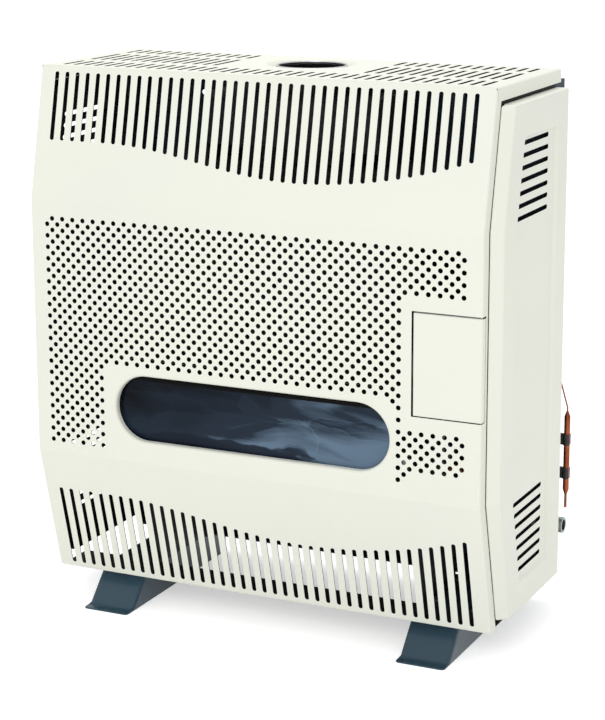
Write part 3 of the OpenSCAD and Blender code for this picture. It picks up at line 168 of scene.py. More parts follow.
# %% Group: zinc crystals, rolling marks and stains of bare metal
def make_metal_skin():
    g, i, o = new_group(
        "Metal skin", "ShaderNodeTree",
        {"Light": (COLOUR, GREY), "Dark": (COLOUR, GREY), "Stain": (COLOUR, GREY),
         "Crystal scale": (FLOAT, 140.0), "Crystal share": (FLOAT, 0.5), "Rolling share": (FLOAT, 0.3),
         "Stain share": (FLOAT, 0.2), "Gloss": (FLOAT, 0.35), "Gloss spread": (FLOAT, 0.2),
         "Relief": (FLOAT, 0.15)},
        SKIN_OUTPUTS)
    where = add_node(g, "ShaderNodeTexCoord")
    crystals = add_node(g, "ShaderNodeTexVoronoi")
    warp = add_node(g, "ShaderNodeMapping", {"Scale": (900.0, 900.0, 14.0)})
    rolling = add_node(g, "ShaderNodeTexNoise", {"Scale": 1.0, "Detail": 3.0})
    blotch = add_node(g, "ShaderNodeTexNoise", {"Scale": 22.0, "Detail": 6.0})
    grain = add_node(g, "ShaderNodeSeparateColor")
    crystal_part = add_node(g, "ShaderNodeMath", operation="MULTIPLY")
    marks = add_node(g, "ShaderNodeMath", operation="MULTIPLY_ADD")
    shade = add_node(g, "ShaderNodeMix", data_type="RGBA")
    stains = add_node(g, "ShaderNodeMapRange", {"From Min": 0.5, "From Max": 0.75})
    stain_part = add_node(g, "ShaderNodeMath", operation="MULTIPLY")
    stained = add_node(g, "ShaderNodeMix", data_type="RGBA")
    rough = add_node(g, "ShaderNodeMath", operation="MULTIPLY_ADD")
    bump = add_node(g, "ShaderNodeBump", {"Distance": 0.0002})
    wire(g, (where, "Object", crystals, "Vector"), (i, "Crystal scale", crystals, "Scale"),
         (where, "Object", warp, "Vector"), (warp, "Vector", rolling, "Vector"),
         (where, "Object", blotch, "Vector"), (crystals, "Color", grain, "Color"),
         (grain, "Red", crystal_part, 0), (i, "Crystal share", crystal_part, 1),
         (rolling, "Fac", marks, 0), (i, "Rolling share", marks, 1), (crystal_part, 0, marks, 2),
         (marks, 0, shade, "Factor"), (i, "Light", shade, "A"), (i, "Dark", shade, "B"),
         (blotch, "Fac", stains, "Value"), (stains, "Result", stain_part, 0), (i, "Stain share", stain_part, 1),
         (stain_part, 0, stained, "Factor"), (shade, "Result", stained, "A"), (i, "Stain", stained, "B"),
         (stained, "Result", o, "Colour"),
         (marks, 0, rough, 0), (i, "Gloss spread", rough, 1), (i, "Gloss", rough, 2),
         (rough, 0, o, "Roughness"),
         (marks, 0, bump, "Height"), (i, "Relief", bump, "Strength"), (bump, "Normal", o, "Normal"))
    return g


METAL_SKIN = make_metal_skin()


# %% Group: the grain of moulded or fibrous stuff
def make_moulded_skin():
    g, i, o = new_group(
        "Moulded skin", "ShaderNodeTree",
        {"Body": (COLOUR, GREY), "Dust": (COLOUR, GREY), "Grain scale": (FLOAT, 1500.0),
         "Grain height": (FLOAT, 0.2), "Dust share": (FLOAT, 0.15), "Gloss": (FLOAT, 0.45)},
        SKIN_OUTPUTS)
    where = add_node(g, "ShaderNodeTexCoord")
    grain = add_node(g, "ShaderNodeTexVoronoi")
    bump = add_node(g, "ShaderNodeBump", {"Distance": 0.0003})
    dust = add_node(g, "ShaderNodeTexNoise", {"Scale": 60.0, "Detail": 8.0})
    amount = add_node(g, "ShaderNodeMath", operation="MULTIPLY")
    tint = add_node(g, "ShaderNodeMix", data_type="RGBA")
    rough = add_node(g, "ShaderNodeMath", {1: 0.15}, operation="MULTIPLY_ADD")
    wire(g, (where, "Object", grain, "Vector"), (i, "Grain scale", grain, "Scale"),
         (grain, "Distance", bump, "Height"), (i, "Grain height", bump, "Strength"),
         (bump, "Normal", o, "Normal"),
         (where, "Object", dust, "Vector"), (dust, "Fac", amount, 0), (i, "Dust share", amount, 1),
         (amount, 0, tint, "Factor"), (i, "Body", tint, "A"), (i, "Dust", tint, "B"),
         (tint, "Result", o, "Colour"),
         (dust, "Fac", rough, 0), (i, "Gloss", rough, 2), (rough, 0, o, "Roughness"))
    return g


MOULDED_SKIN = make_moulded_skin()
print("shader groups", [g.name for g in bpy.data.node_groups])

# %% [markdown]
# ## Finishes
#
# Each finish is one of the groups with its own colours and sizes, feeding one Principled shader. Numbers that
# are the same all over a surface, such as how metallic it is, stay on the shader itself.

# %% One function makes a finish
FINISHES = {}


def finish(key, name, skin, on_shader, **in_skin):
    """Material whose colour, roughness and normal come from a skin group. Colours are screen values."""
    material = bpy.data.materials.new(name)
    material.use_nodes = True
    tree = material.node_tree
    shader = tree.nodes["Principled BSDF"]
    values = {word.replace("_", " "): screen(*value) if isinstance(value, tuple) else value
              for word, value in in_skin.items()}
    group = add_node(tree, "ShaderNodeGroup", values, node_tree=skin)
    for word, value in on_shader.items():
        shader.inputs[word].default_value = value
    wire(tree, (group, "Colour", shader, "Base Color"), (group, "Roughness", shader, "Roughness"),
         (group, "Normal", shader, "Normal"))
    FINISHES[key] = material


# %% The enamels of the casing and of the feet
MIRRORING = "Specular IOR Level"
finish("cream_enamel", "cream enamel", ENAMEL_SKIN, {MIRRORING: 0.35},
       Paint=(239, 241, 228), Shade=(236, 238, 227), Orange_peel_scale=420.0, Orange_peel_height=0.14,
       Gloss=0.42, Gloss_spread=0.08)
# Inside the casing: a grey coat, darkened further as painted shade so that the inside reads dark through the
# slots.
finish("inner_coat_and_shade", "grey coat inside the casing darkened as painted shade", ENAMEL_SKIN, {MIRRORING: 0.2},
       Paint=(60, 62, 62), Shade=(46, 47, 47), Orange_peel_scale=500.0, Orange_peel_height=0.1,
       Gloss=0.7, Gloss_spread=0.1)
# Cut edges are painted near black as shade, so that holes and slots read dark.
finish("cut_edge_shade", "cut sheet edge painted dark as shade", ENAMEL_SKIN, {MIRRORING: 0.1},
       Paint=(38, 38, 37), Shade=(26, 26, 25), Orange_peel_scale=900.0, Orange_peel_height=0.2,
       Gloss=0.7, Gloss_spread=0.1)
finish("blue_grey_enamel", "blue grey enamel", ENAMEL_SKIN,
       {MIRRORING: 0.3, "Coat Weight": 0.12, "Coat Roughness": 0.1},
       Paint=(50, 76, 91), Shade=(41, 64, 79), Orange_peel_scale=300.0, Orange_peel_height=0.12,
       Gloss=0.24, Gloss_spread=0.08)
finish("frame_enamel", "matt blue grey enamel of the rear frame", ENAMEL_SKIN, {MIRRORING: 0.06},
       Paint=(62, 77, 87), Shade=(54, 68, 78), Orange_peel_scale=300.0, Orange_peel_height=0.12,
       Gloss=0.5, Gloss_spread=0.08)
# Near black painted shade for the flue's bore and the window's frame.
finish("black_painted_shade", "near black painted shade", ENAMEL_SKIN, {MIRRORING: 0.05},
       Paint=(20, 20, 21), Shade=(30, 27, 25), Orange_peel_scale=700.0, Orange_peel_height=0.5,
       Gloss=0.85, Gloss_spread=0.1)
finish("black_steel", "black heatproof steel", ENAMEL_SKIN, {MIRRORING: 0.3},
       Paint=(26, 26, 29), Shade=(38, 34, 32), Orange_peel_scale=700.0, Orange_peel_height=0.25,
       Gloss=0.6, Gloss_spread=0.15)

# %% The bare metals
METAL = {"Metallic": 1.0}
finish("zinc_steel", "zinc coated steel", METAL_SKIN, METAL,
       Light=(196, 199, 203), Dark=(158, 163, 170), Stain=(150, 150, 148), Crystal_scale=150.0,
       Crystal_share=0.7, Rolling_share=0.2, Gloss=0.3, Gloss_spread=0.2)
# Zinc round the fire, painted dark grey as shade.
finish("zinc_painted_shade", "zinc coat painted dark grey as shade", METAL_SKIN, {"Metallic": 0.5},
       Light=(70, 71, 73), Dark=(50, 52, 55), Stain=(36, 33, 30), Crystal_scale=150.0,
       Crystal_share=0.6, Rolling_share=0.2, Stain_share=0.8, Gloss=0.6, Gloss_spread=0.2)
finish("aluminised_steel", "aluminised steel", METAL_SKIN, METAL,
       Light=(205, 206, 207), Dark=(172, 174, 176), Stain=(150, 138, 120), Crystal_scale=500.0,
       Crystal_share=0.3, Rolling_share=0.6, Stain_share=0.35, Gloss=0.28, Gloss_spread=0.15)
finish("brass", "turned brass", METAL_SKIN, METAL,
       Light=(214, 182, 112), Dark=(186, 148, 84), Stain=(120, 92, 60), Crystal_scale=700.0,
       Crystal_share=0.15, Rolling_share=0.5, Stain_share=0.5, Gloss=0.22, Gloss_spread=0.2)
finish("copper", "drawn copper", METAL_SKIN, METAL,
       Light=(166, 92, 58), Dark=(130, 60, 38), Stain=(80, 34, 24), Crystal_scale=300.0,
       Crystal_share=0.25, Rolling_share=0.4, Stain_share=0.8, Gloss=0.26, Gloss_spread=0.2)
finish("plated_brass", "nickel plated brass", METAL_SKIN, METAL,
       Light=(166, 176, 170), Dark=(112, 124, 120), Stain=(60, 68, 62), Crystal_scale=700.0,
       Crystal_share=0.3, Rolling_share=0.5, Stain_share=0.7, Gloss=0.26, Gloss_spread=0.2)
finish("valve_aluminium", "cast aluminium", METAL_SKIN, METAL,
       Light=(186, 188, 190), Dark=(150, 152, 155), Stain=(120, 118, 114), Crystal_scale=900.0,
       Crystal_share=0.5, Rolling_share=0.1, Stain_share=0.3, Gloss=0.42, Gloss_spread=0.2, Relief=0.6)

# %% Plastics, ceramic, fibre and the leads
finish("knob_plastic", "black knob plastic", MOULDED_SKIN, {}, Body=(34, 34, 37), Dust=(88, 86, 82),
       Grain_scale=1600.0, Grain_height=0.25, Dust_share=0.12, Gloss=0.36)
finish("button_plastic", "red button plastic", MOULDED_SKIN, {}, Body=(178, 38, 32), Dust=(150, 70, 60),
       Grain_scale=2400.0, Grain_height=0.08, Dust_share=0.1, Gloss=0.25)
finish("black_plastic", "black clip plastic", MOULDED_SKIN, {}, Body=(24, 26, 30), Dust=(74, 74, 72),
       Grain_scale=1400.0, Grain_height=0.3, Dust_share=0.12, Gloss=0.4)
finish("ceramic", "glazed ceramic", MOULDED_SKIN, {}, Body=(232, 228, 218), Dust=(196, 186, 168),
       Grain_scale=900.0, Grain_height=0.05, Dust_share=0.2, Gloss=0.2)
finish("gasket_fibre", "woven fibre", MOULDED_SKIN, {MIRRORING: 0.1},
       Body=(206, 200, 186), Dust=(150, 142, 128), Grain_scale=800.0, Grain_height=1.0, Dust_share=0.6,
       Gloss=0.8)
finish("lead_sleeve", "silicone sleeve", MOULDED_SKIN, {}, Body=(84, 40, 32), Dust=(88, 66, 56),
       Grain_scale=1200.0, Grain_height=0.12, Dust_share=0.25, Gloss=0.5)

# %% [markdown]
# The window is dark ceramic glass, coated against glare, so it mirrors only a little. A painted reflection lies
# on it as a thin blue-grey sheen, paler towards the lower right, that runs across it in creases like a crumpled
# film. The painted reflection is a stretched noise for its clouds, a Voronoi pattern for its flat facets and
# thin creases, and a slope across the pane. Together they choose a shade between four dark blues.

# %% The window glass
# Dark blues of the glass, and the paler blue of its painted reflection.
GLASS_AND_REFLECTION_STOPS = {0.05: (6, 10, 18), 0.3: (25, 35, 48), 0.62: (37, 49, 63), 0.84: (104, 126, 148)}


def make_glass():
    material = bpy.data.materials.new("dark ceramic glass")
    material.use_nodes = True
    tree = material.node_tree
    shader = tree.nodes["Principled BSDF"]
    for key, value in (("IOR", 1.5), (MIRRORING, 0.04), ("Transmission Weight", 0.08)):
        shader.inputs[key].default_value = value
    where = add_node(tree, "ShaderNodeTexCoord")
    lean = add_node(tree, "ShaderNodeMapping",
                    {"Rotation": (0.0, math.radians(12), 0.0), "Scale": (6.0, 1.0, 22.0)})
    clouds = add_node(tree, "ShaderNodeTexNoise", {"Scale": 1.0, "Detail": 5.0, "Distortion": 0.8})
    bend = add_node(tree, "ShaderNodeMapping",
                    {"Rotation": (0.0, math.radians(-20), 0.0), "Scale": (6.0, 0.0, 40.0)})
    crumple = add_node(tree, "ShaderNodeTexNoise", {"Scale": 14.0, "Detail": 3.0})
    pushed = add_node(tree, "ShaderNodeVectorMath", {1: (1.6, 0.0, 1.6)}, operation="MULTIPLY_ADD")
    reflected_creases = add_node(tree, "ShaderNodeTexVoronoi", {"Scale": 1.0}, feature="DISTANCE_TO_EDGE")
    reflected_facets = add_node(tree, "ShaderNodeTexVoronoi", {"Scale": 1.0, "Smoothness": 0.15}, feature="SMOOTH_F1")
    thin = add_node(tree, "ShaderNodeMapRange", {"From Max": 0.02, "To Min": 0.07, "To Max": 0.0})
    tone = add_node(tree, "ShaderNodeSeparateColor")
    tilt = add_node(tree, "ShaderNodeMath", {1: 0.28}, operation="MULTIPLY_ADD")
    # The slope across and down the pane makes the painted reflection paler towards the lower right.
    split = add_node(tree, "ShaderNodeSeparateXYZ")
    across = add_node(tree, "ShaderNodeMath", {1: 1.0, 2: 0.52}, operation="MULTIPLY_ADD")
    down = add_node(tree, "ShaderNodeMath", {1: -2.4}, operation="MULTIPLY_ADD")
    total = add_node(tree, "ShaderNodeMath", operation="ADD")
    mixed = add_node(tree, "ShaderNodeMath", operation="ADD")
    glass_and_reflection = add_node(tree, "ShaderNodeValToRGB")
    stops = list(GLASS_AND_REFLECTION_STOPS)
    ramp = glass_and_reflection.color_ramp.elements
    ramp[0].position, ramp[1].position = stops[0], stops[-1]
    for stop in stops[1:-1]:
        ramp.new(stop)
    for element, shade in zip(ramp, GLASS_AND_REFLECTION_STOPS.values()):
        element.color = screen(*shade)
    rough = add_node(tree, "ShaderNodeMapRange", {"To Min": 0.06, "To Max": 0.2})
    wire(tree, (where, "Object", lean, "Vector"), (lean, "Vector", clouds, "Vector"),
         (where, "Object", bend, "Vector"), (where, "Object", crumple, "Vector"),
         (crumple, "Color", pushed, 0), (bend, "Vector", pushed, 2),
         (pushed, "Vector", reflected_creases, "Vector"), (pushed, "Vector", reflected_facets, "Vector"),
         (reflected_creases, "Distance", thin, "Value"), (reflected_facets, "Color", tone, "Color"),
         (tone, "Red", tilt, 0), (thin, "Result", tilt, 2),
         (where, "Object", split, "Vector"), (split, "X", across, 0), (split, "Z", down, 0),
         (across, 0, down, 2),
         (clouds, "Fac", total, 0), (down, 0, total, 1), (total, 0, mixed, 0), (tilt, 0, mixed, 1),
         (mixed, 0, glass_and_reflection, "Fac"), (glass_and_reflection, "Color", shader, "Base Color"),
         (clouds, "Fac", rough, "Value"), (rough, "Result", shader, "Roughness"))
    return material


FINISHES["window_glass"] = make_glass()

# %% [markdown]
# Every CAD piece gets the finish that the record names for it, with a few exceptions. The zinc coated sheets
# round the fire are painted dark grey as shade, so that through the slots the heater's inside looks almost
# black. The frame of the window is painted near black as shade. The gas inlet is brass with a thin nickel
# plate, so that it looks grey, and the rear frame has a duller enamel than the feet.

# %% Dress the CAD pieces
SLOT_OF = {entry["node"]: entry["material_slot"] for entry in frame["record"]["subparts"]}
SPECIAL = {"draught_hood": "zinc_painted_shade", "diverter_baffle": "zinc_painted_shade", "heat_shield": "zinc_painted_shade",
           "chamber_support_left": "zinc_painted_shade", "chamber_support_right": "zinc_painted_shade",
           "inlet_fitting": "plated_brass", "sight_frame": "black_painted_shade", "rear_frame": "frame_enamel"}

for node, piece in frame["nodes"].items():
    piece.data.materials.clear()
    piece.data.materials.append(FINISHES[SPECIAL.get(node, SLOT_OF[node])])
print("dressed", len(SLOT_OF), "CAD pieces in", len(set(SLOT_OF.values())), "finishes")

# %% [markdown]
# ## Punched sheet
#
# The casing is punched while the sheet is flat and folded afterwards, so it is modelled in the same order. A
# Geometry Nodes tree does the punching. It is given the outline as closed loops of edges, and one loose vertex
# for every hole. A ring is placed on each of these vertices; a slot is a ring that is pulled apart by the
# vector stored on its vertex. Fill Curve then fills the outline and leaves the rings and inner loops open.


# %% The punching tree
def end_tree(tree, source, output, i, o):
    """Ends a geometry tree: what is placed becomes real, and the finish is set."""
    real = add_node(tree, "GeometryNodeRealizeInstances")
    paint = add_node(tree, "GeometryNodeSetMaterial")
    wire(tree, (source, output, real, "Geometry"), (real, "Geometry", paint, "Geometry"),
         (i, "Finish", paint, "Material"), (paint, "Geometry", o, 0))


def make_punch_tree():
    tree, i, o = new_group(
        "Punched sheet", "GeometryNodeTree",
        {"Blank": (SHAPE, None), "Round radius": (FLOAT, HOLE_R * MM), "Slot radius": (FLOAT, SLOT_R * MM),
         "Ring points": (COUNT, RING_POINTS), "Finish": (MATERIAL, None)},
        {"Sheet": SHAPE})
    ring = add_node(tree, "GeometryNodeCurvePrimitiveCircle", {"Radius": 1.0})
    here = add_node(tree, "GeometryNodeInputPosition")
    keep = add_node(tree, "GeometryNodeStoreNamedAttribute", {"Name": "on ring"}, data_type="FLOAT_VECTOR",
                    domain="POINT")
    kind = add_node(tree, "GeometryNodeInputNamedAttribute", {"Name": "kind"}, data_type="FLOAT")
    is_hole = add_node(tree, "FunctionNodeCompare", {"B": 0.5}, data_type="FLOAT", operation="GREATER_THAN")
    is_slot = add_node(tree, "FunctionNodeCompare", {"B": 1.5}, data_type="FLOAT", operation="GREATER_THAN")
    size = add_node(tree, "GeometryNodeSwitch", input_type="FLOAT")
    rings = add_node(tree, "GeometryNodeInstanceOnPoints")
    real = add_node(tree, "GeometryNodeRealizeInstances")
    pull = add_node(tree, "GeometryNodeInputNamedAttribute", {"Name": "pull"}, data_type="FLOAT_VECTOR")
    on_ring = add_node(tree, "GeometryNodeInputNamedAttribute", {"Name": "on ring"}, data_type="FLOAT_VECTOR")
    side = add_node(tree, "ShaderNodeVectorMath", operation="DOT_PRODUCT")
    sign = add_node(tree, "ShaderNodeMath", operation="SIGN")
    shift = add_node(tree, "ShaderNodeVectorMath", operation="SCALE")
    apart = add_node(tree, "GeometryNodeSetPosition")
    loops = add_node(tree, "GeometryNodeMeshToCurve")
    join = add_node(tree, "GeometryNodeJoinGeometry")
    fill = add_node(tree, "GeometryNodeFillCurve")
    wire(tree, (i, "Ring points", ring, "Resolution"), (ring, "Curve", keep, "Geometry"),
         (here, "Position", keep, "Value"),
         (kind, "Attribute", is_hole, "A"), (kind, "Attribute", is_slot, "A"),
         (is_slot, "Result", size, "Switch"), (i, "Round radius", size, "False"),
         (i, "Slot radius", size, "True"),
         (i, "Blank", rings, "Points"), (keep, "Geometry", rings, "Instance"),
         (is_hole, "Result", rings, "Selection"), (size, "Output", rings, "Scale"),
         (rings, "Instances", real, "Geometry"),
         (on_ring, "Attribute", side, 0), (pull, "Attribute", side, 1), (side, "Value", sign, 0),
         (pull, "Attribute", shift, "Vector"), (sign, 0, shift, "Scale"),
         (real, "Geometry", apart, "Geometry"), (shift, "Vector", apart, "Offset"),
         (i, "Blank", loops, "Mesh"), (loops, "Curve", join, "Geometry"), (apart, "Geometry", join, "Geometry"),
         (join, "Geometry", fill, "Curve"))
    end_tree(tree, fill, "Mesh", i, o)
    return tree


PUNCH_TREE = make_punch_tree()


# %% Run a Geometry Nodes tree and keep its result as a plain mesh
def add_tree(piece, name, tree, values):
    """Adds a Geometry Nodes modifier and sets its named inputs through their sockets' identifiers."""
    modifier = piece.modifiers.new(name, "NODES")
    modifier.node_group = tree
    for item in tree.interface.items_tree:
        if item.item_type == "SOCKET" and item.in_out == "INPUT" and item.name in values:
            modifier[item.identifier] = values[item.name]


def settle(piece):
    """Replaces a piece's mesh by what its modifiers make of it."""
    view = bpy.context.evaluated_depsgraph_get()
    view.update()
    made = bpy.data.meshes.new_from_object(piece.evaluated_get(view), preserve_all_data_layers=False,
                                           depsgraph=view)
    piece.modifiers.clear()
    old = piece.data
    piece.data = made
    made.name = piece.name
    bpy.data.meshes.remove(old)


def new_piece(name, mesh=None):
    piece = bpy.data.objects.new(name, mesh or bpy.data.meshes.new(name))
    bpy.context.scene.collection.objects.link(piece)
    return piece


def punch(name, loops, holes, round_r=HOLE_R):
    """Flat punched sheet. loops: closed outlines. holes: (x, y, pull_x, pull_y), all in millimetres."""
    mesh = bpy.data.meshes.new(name)
    points, edges = [], []
    for loop in loops:
        first = len(points)
        points += [(x * MM, y * MM, 0.0) for x, y in loop]
        edges += [(first + k, first + (k + 1) % len(loop)) for k in range(len(loop))]
    outline = len(points)
    points += [(x * MM, y * MM, 0.0) for x, y, _, _ in holes]
    mesh.from_pydata(points, edges, [])
    kinds = mesh.attributes.new("kind", "FLOAT", "POINT")
    pulls = mesh.attributes.new("pull", "FLOAT_VECTOR", "POINT")
    for k, (_, _, px, py) in enumerate(holes):
        kinds.data[outline + k].value = 2.0 if px or py else 1.0
        pulls.data[outline + k].vector = (px * MM, py * MM, 0.0)
    piece = new_piece(name, mesh)
    add_tree(piece, "punching", PUNCH_TREE, {"Round radius": round_r * MM, "Slot radius": SLOT_R * MM,
                                             "Ring points": RING_POINTS, "Finish": FINISHES["cream_enamel"]})
    settle(piece)
    print(name, "punched:", len(holes), "holes,", len(piece.data.polygons), "faces")
    return piece


# %% [markdown]
# ## Folding
#
# A folded sheet is the flat sheet bent along a route. The route is given by its corners and the radius of each
# bend, and it is measured along its corners, so that a hole keeps its distance from them. Before the sheet is
# bent, it is cut along straight lines where each bend starts, turns and ends, because a mesh can only bend at
# its edges. One more line, just beside each bend, keeps the smooth shading of the bend off the flat.


# %% A route with rounded corners
def turn_at(corner, before, after):
    """Direction before a corner, and the signed angle to the direction after it."""
    first, second = (corner - before).normalized(), (after - corner).normalized()
    return first, math.atan2(first.x * second.y - first.y * second.x, first.dot(second))


class Route:
    def __init__(self, corners, radii, steps):
        self.corners = [Vector(c) for c in corners]
        self.marks = [0.0]
        for a, b in zip(self.corners, self.corners[1:]):
            self.marks.append(self.marks[-1] + (b - a).length)
        self.bends = []
        for k, radius in enumerate(radii, start=1):
            first, turn = turn_at(self.corners[k], self.corners[k - 1], self.corners[k + 1])
            reach = radius * math.tan(abs(turn) / 2)
            self.bends.append((self.marks[k], reach, first, turn, radius, self.corners[k]))
        self.steps = steps

    def cuts(self):
        """Where a sheet is cut so that it can follow the bends."""
        lines = []
        for mark, reach, *_ in self.bends:
            lines += [mark - reach + 2 * reach * k / self.steps for k in range(self.steps + 1)]
            lines += [mark - reach - 1.0, mark + reach + 1.0]
        return lines

    def at(self, s):
        """Point of the route at the distance s along its corners."""
        for mark, reach, first, turn, radius, corner in self.bends:
            if abs(s - mark) < reach:
                angle = turn * (s - mark + reach) / (2 * reach)
                normal = Vector((-first.y, first.x)) * (1 if turn > 0 else -1)
                centre = corner - first * reach + normal * radius
                c, n = math.cos(angle), math.sin(angle)
                arm = -normal * radius
                return centre + Vector((arm.x * c - arm.y * n, arm.x * n + arm.y * c))
        k = 0
        while k < len(self.marks) - 2 and s > self.marks[k + 1]:
            k += 1
        ahead = (self.corners[k + 1] - self.corners[k]).normalized()
        return self.corners[k] + ahead * (s - self.marks[k])


# %% Small tools for meshes
FORWARD = Vector((0, -1, 0))


def opened(piece):
    """A piece's mesh, opened for editing."""
    bm = bmesh.new()
    bm.from_mesh(piece.data)
    return bm


def put_back(bm, piece):
    """Ends the editing of a mesh and gives it to its piece."""
    bm.to_mesh(piece.data)
    bm.free()
    return piece


def face_out(bm, outward):
    """Makes the faces agree, with the widest one looking outward."""
    bmesh.ops.recalc_face_normals(bm, faces=bm.faces[:])
    if max(bm.faces, key=lambda f: f.calc_area()).normal.dot(outward) < 0:
        bmesh.ops.reverse_faces(bm, faces=bm.faces[:])


def join_rows(bm, rows):
    """Faces between rows of points."""
    for low, high in zip(rows, rows[1:]):
        for k in range(len(low) - 1):
            bm.faces.new([low[k], low[k + 1], high[k + 1], high[k]])


def join_rings(bm, first, second):
    """Faces between two closed rings of points."""
    for k in range(len(first)):
        bm.faces.new([first[k - 1], first[k], second[k], second[k - 1]])


def draw_edge(bm, edge, rows, move):
    """Extends an open edge row by row. move gives a point its place in a row."""
    for row in rows:
        made = bmesh.ops.extrude_edge_only(bm, edges=edge)["geom"]
        for v in [g for g in made if isinstance(g, bmesh.types.BMVert)]:
            v.co = move(v, *row)
        edge = [g for g in made if isinstance(g, bmesh.types.BMEdge)]
    return len(edge)


def smooth_by_angle(piece, degrees=35):
    piece.data.shade_smooth()
    piece.data.set_sharp_from_angle(angle=math.radians(degrees))


def give_wall(piece, thickness=SHEET, inside=None):
    """Thickens a sheet inwards, away from its outer faces. inside is the finish of its inner faces."""
    wall = piece.modifiers.new("sheet", "SOLIDIFY")
    wall.thickness = thickness * MM
    wall.offset = -1.0
    if inside:
        # Inner faces take the inside finish, and the cut edges the near black painted shade.
        piece.data.materials.append(inside)
        piece.data.materials.append(FINISHES["cut_edge_shade"])
        wall.material_offset = 1
        wall.material_offset_rim = 2
    settle(piece)


# %% Fold a sheet, and add closed strips to it
def cut_lines(bm, xs, ys):
    """Cuts a flat sheet along lines of constant x or y, in millimetres."""
    for values, normal in ((xs, Vector((1, 0, 0))), (ys, Vector((0, 1, 0)))):
        for value in values:
            bmesh.ops.bisect_plane(bm, geom=bm.verts[:] + bm.edges[:] + bm.faces[:], dist=1e-7,
                                   plane_co=normal * (value * MM), plane_no=normal)


def fold(piece, across, up, start, middle, point):
    """Cuts and bends a flat sheet. point gives a place from the two routes' points."""
    bm = opened(piece)
    bmesh.ops.remove_doubles(bm, verts=bm.verts[:], dist=1e-7)
    cut_lines(bm, [c - middle for c in across.cuts()], [c - start for c in up.cuts()])
    for v in bm.verts:
        v.co = point(across.at(v.co.x / MM + middle), up.at(v.co.y / MM + start))
    put_back(bm, piece)


def add_blocks(piece, blocks):
    """Adds closed, slightly rounded blocks, given by two corners (x, depth, z)."""
    bm = bmesh.new()
    for low, high in blocks:
        made = bmesh.ops.create_cube(bm, size=1.0)["verts"]
        a, b = place(*low), place(*high)
        for v in made:
            v.co = Vector((a[k] if v.co[k] < 0 else b[k] for k in range(3)))
        faces = {f for v in made for f in v.link_faces}
        bmesh.ops.recalc_face_normals(bm, faces=list(faces))
    bmesh.ops.bevel(bm, geom=bm.edges[:], offset=0.25 * MM, segments=2, affect="EDGES", profile=0.5)
    extra = bpy.data.meshes.new("blocks")
    bm.to_mesh(extra)
    bm.free()
    bm = opened(piece)
    bm.from_mesh(extra)
    put_back(bm, piece)
    bpy.data.meshes.remove(extra)


# %% [markdown]
# ## The front panel
#
# One sheet makes the three slanting faces, the returns on both sides and the flange under the casing. It has
# 999 round holes in staggered rows, 39 slots along the top and 39 along the bottom, and the slots' inner ends
# follow a wave. The hole beside the control door and the round-ended window are part of the outline. After
# folding, the window's edge is drawn inwards in a smooth lip.

# %% Routes of the front panel
UP = Route([(105, BASE), (LEAN_LOW, BASE), (0, BEND_LOW), (0, BEND_HIGH), (LEAN_HIGH, TOP)], [2.5, 9, 9],
           steps=5)
ACROSS = Route([(-HALF_FRONT, 17), (-HALF_FRONT, 0), (HALF_FRONT, 0), (HALF_FRONT, 17)], [FOLD, FOLD], steps=6)
FLANGE = UP.marks[1]
TOP_V = UP.marks[-1] - FLANGE


def up_to(z):
    """Height on the flat front sheet of a height on the folded one."""
    k = 1 if z < BEND_LOW else 2 if z < BEND_HIGH else 3
    low, high = UP.corners[k].y, UP.corners[k + 1].y
    return UP.marks[k] - FLANGE + (UP.marks[k + 1] - UP.marks[k]) * (z - low) / (high - low)


# %% The pattern of holes and slots
CELL, FIRST_ROW_Z = 7.5, 529
LAND, HIGH_SLOTS_Z, LOW_SLOTS_Z = 7.6, 595, 134
CORNER_HOLES = {(26, 25), (27, 26), (27, 28), (28, 37), (27, 38)}
TROUGH_X, LEFT_RUN, RIGHT_RUN, LEFT_RISE, RIGHT_RISE = 60, 270, 225, 32, 38


def wave(x):
    """Rise of the slots' inner ends above the wave's trough."""
    if x < TROUGH_X:
        return LEFT_RISE / 2 * (1 - math.cos(math.pi * min(1, (TROUGH_X - x) / LEFT_RUN)))
    return RIGHT_RISE * ((x - TROUGH_X) / RIGHT_RUN) ** 2


def is_hole(col, row):
    x, z = col * CELL, FIRST_ROW_Z - row * CELL
    if (col + row) % 2 == 0:
        return False
    over_door = z > 473
    over_window = x < 206 and z > 346
    beside_window = x < -208
    low_block = x > 200 and 253.5 < z < 306
    return over_door or over_window or beside_window or low_block or (col, row) in CORNER_HOLES


def slot_between(x, low, high):
    """Upright slot with its ends at two heights of the flat sheet."""
    return (x, (low + high) / 2, 0, (high - low) / 2 - SLOT_R)


front_holes = [(col * CELL, up_to(FIRST_ROW_Z - row * CELL), 0, 0)
               for row in range(40) for col in range(-38, 39) if is_hole(col, row)]
print("front pattern:", len(front_holes), "round holes and", 2 * len(SLOT_X), "slots")
for x in SLOT_X:
    front_holes.append(slot_between(x, up_to(HIGH_SLOTS_Z + wave(x)), TOP_V - LAND))
    front_holes.append(slot_between(x, LAND, up_to(LOW_SLOTS_Z + wave(x))))


# %% Outline of the front blank
def mirrored(half):
    """Whole outline of a sheet, from its right half."""
    return half + [(-u, v) for u, v in reversed(half)]


def stadium(cy, half, r, count=28):
    """Round-ended outline: a straight half length and an end radius."""
    right = [(half + r * math.cos(a), cy + r * math.sin(a))
             for a in [math.radians(-90 + 180 * k / count) for k in range(count + 1)]]
    return right + [(-x, 2 * cy - y) for x, y in right]


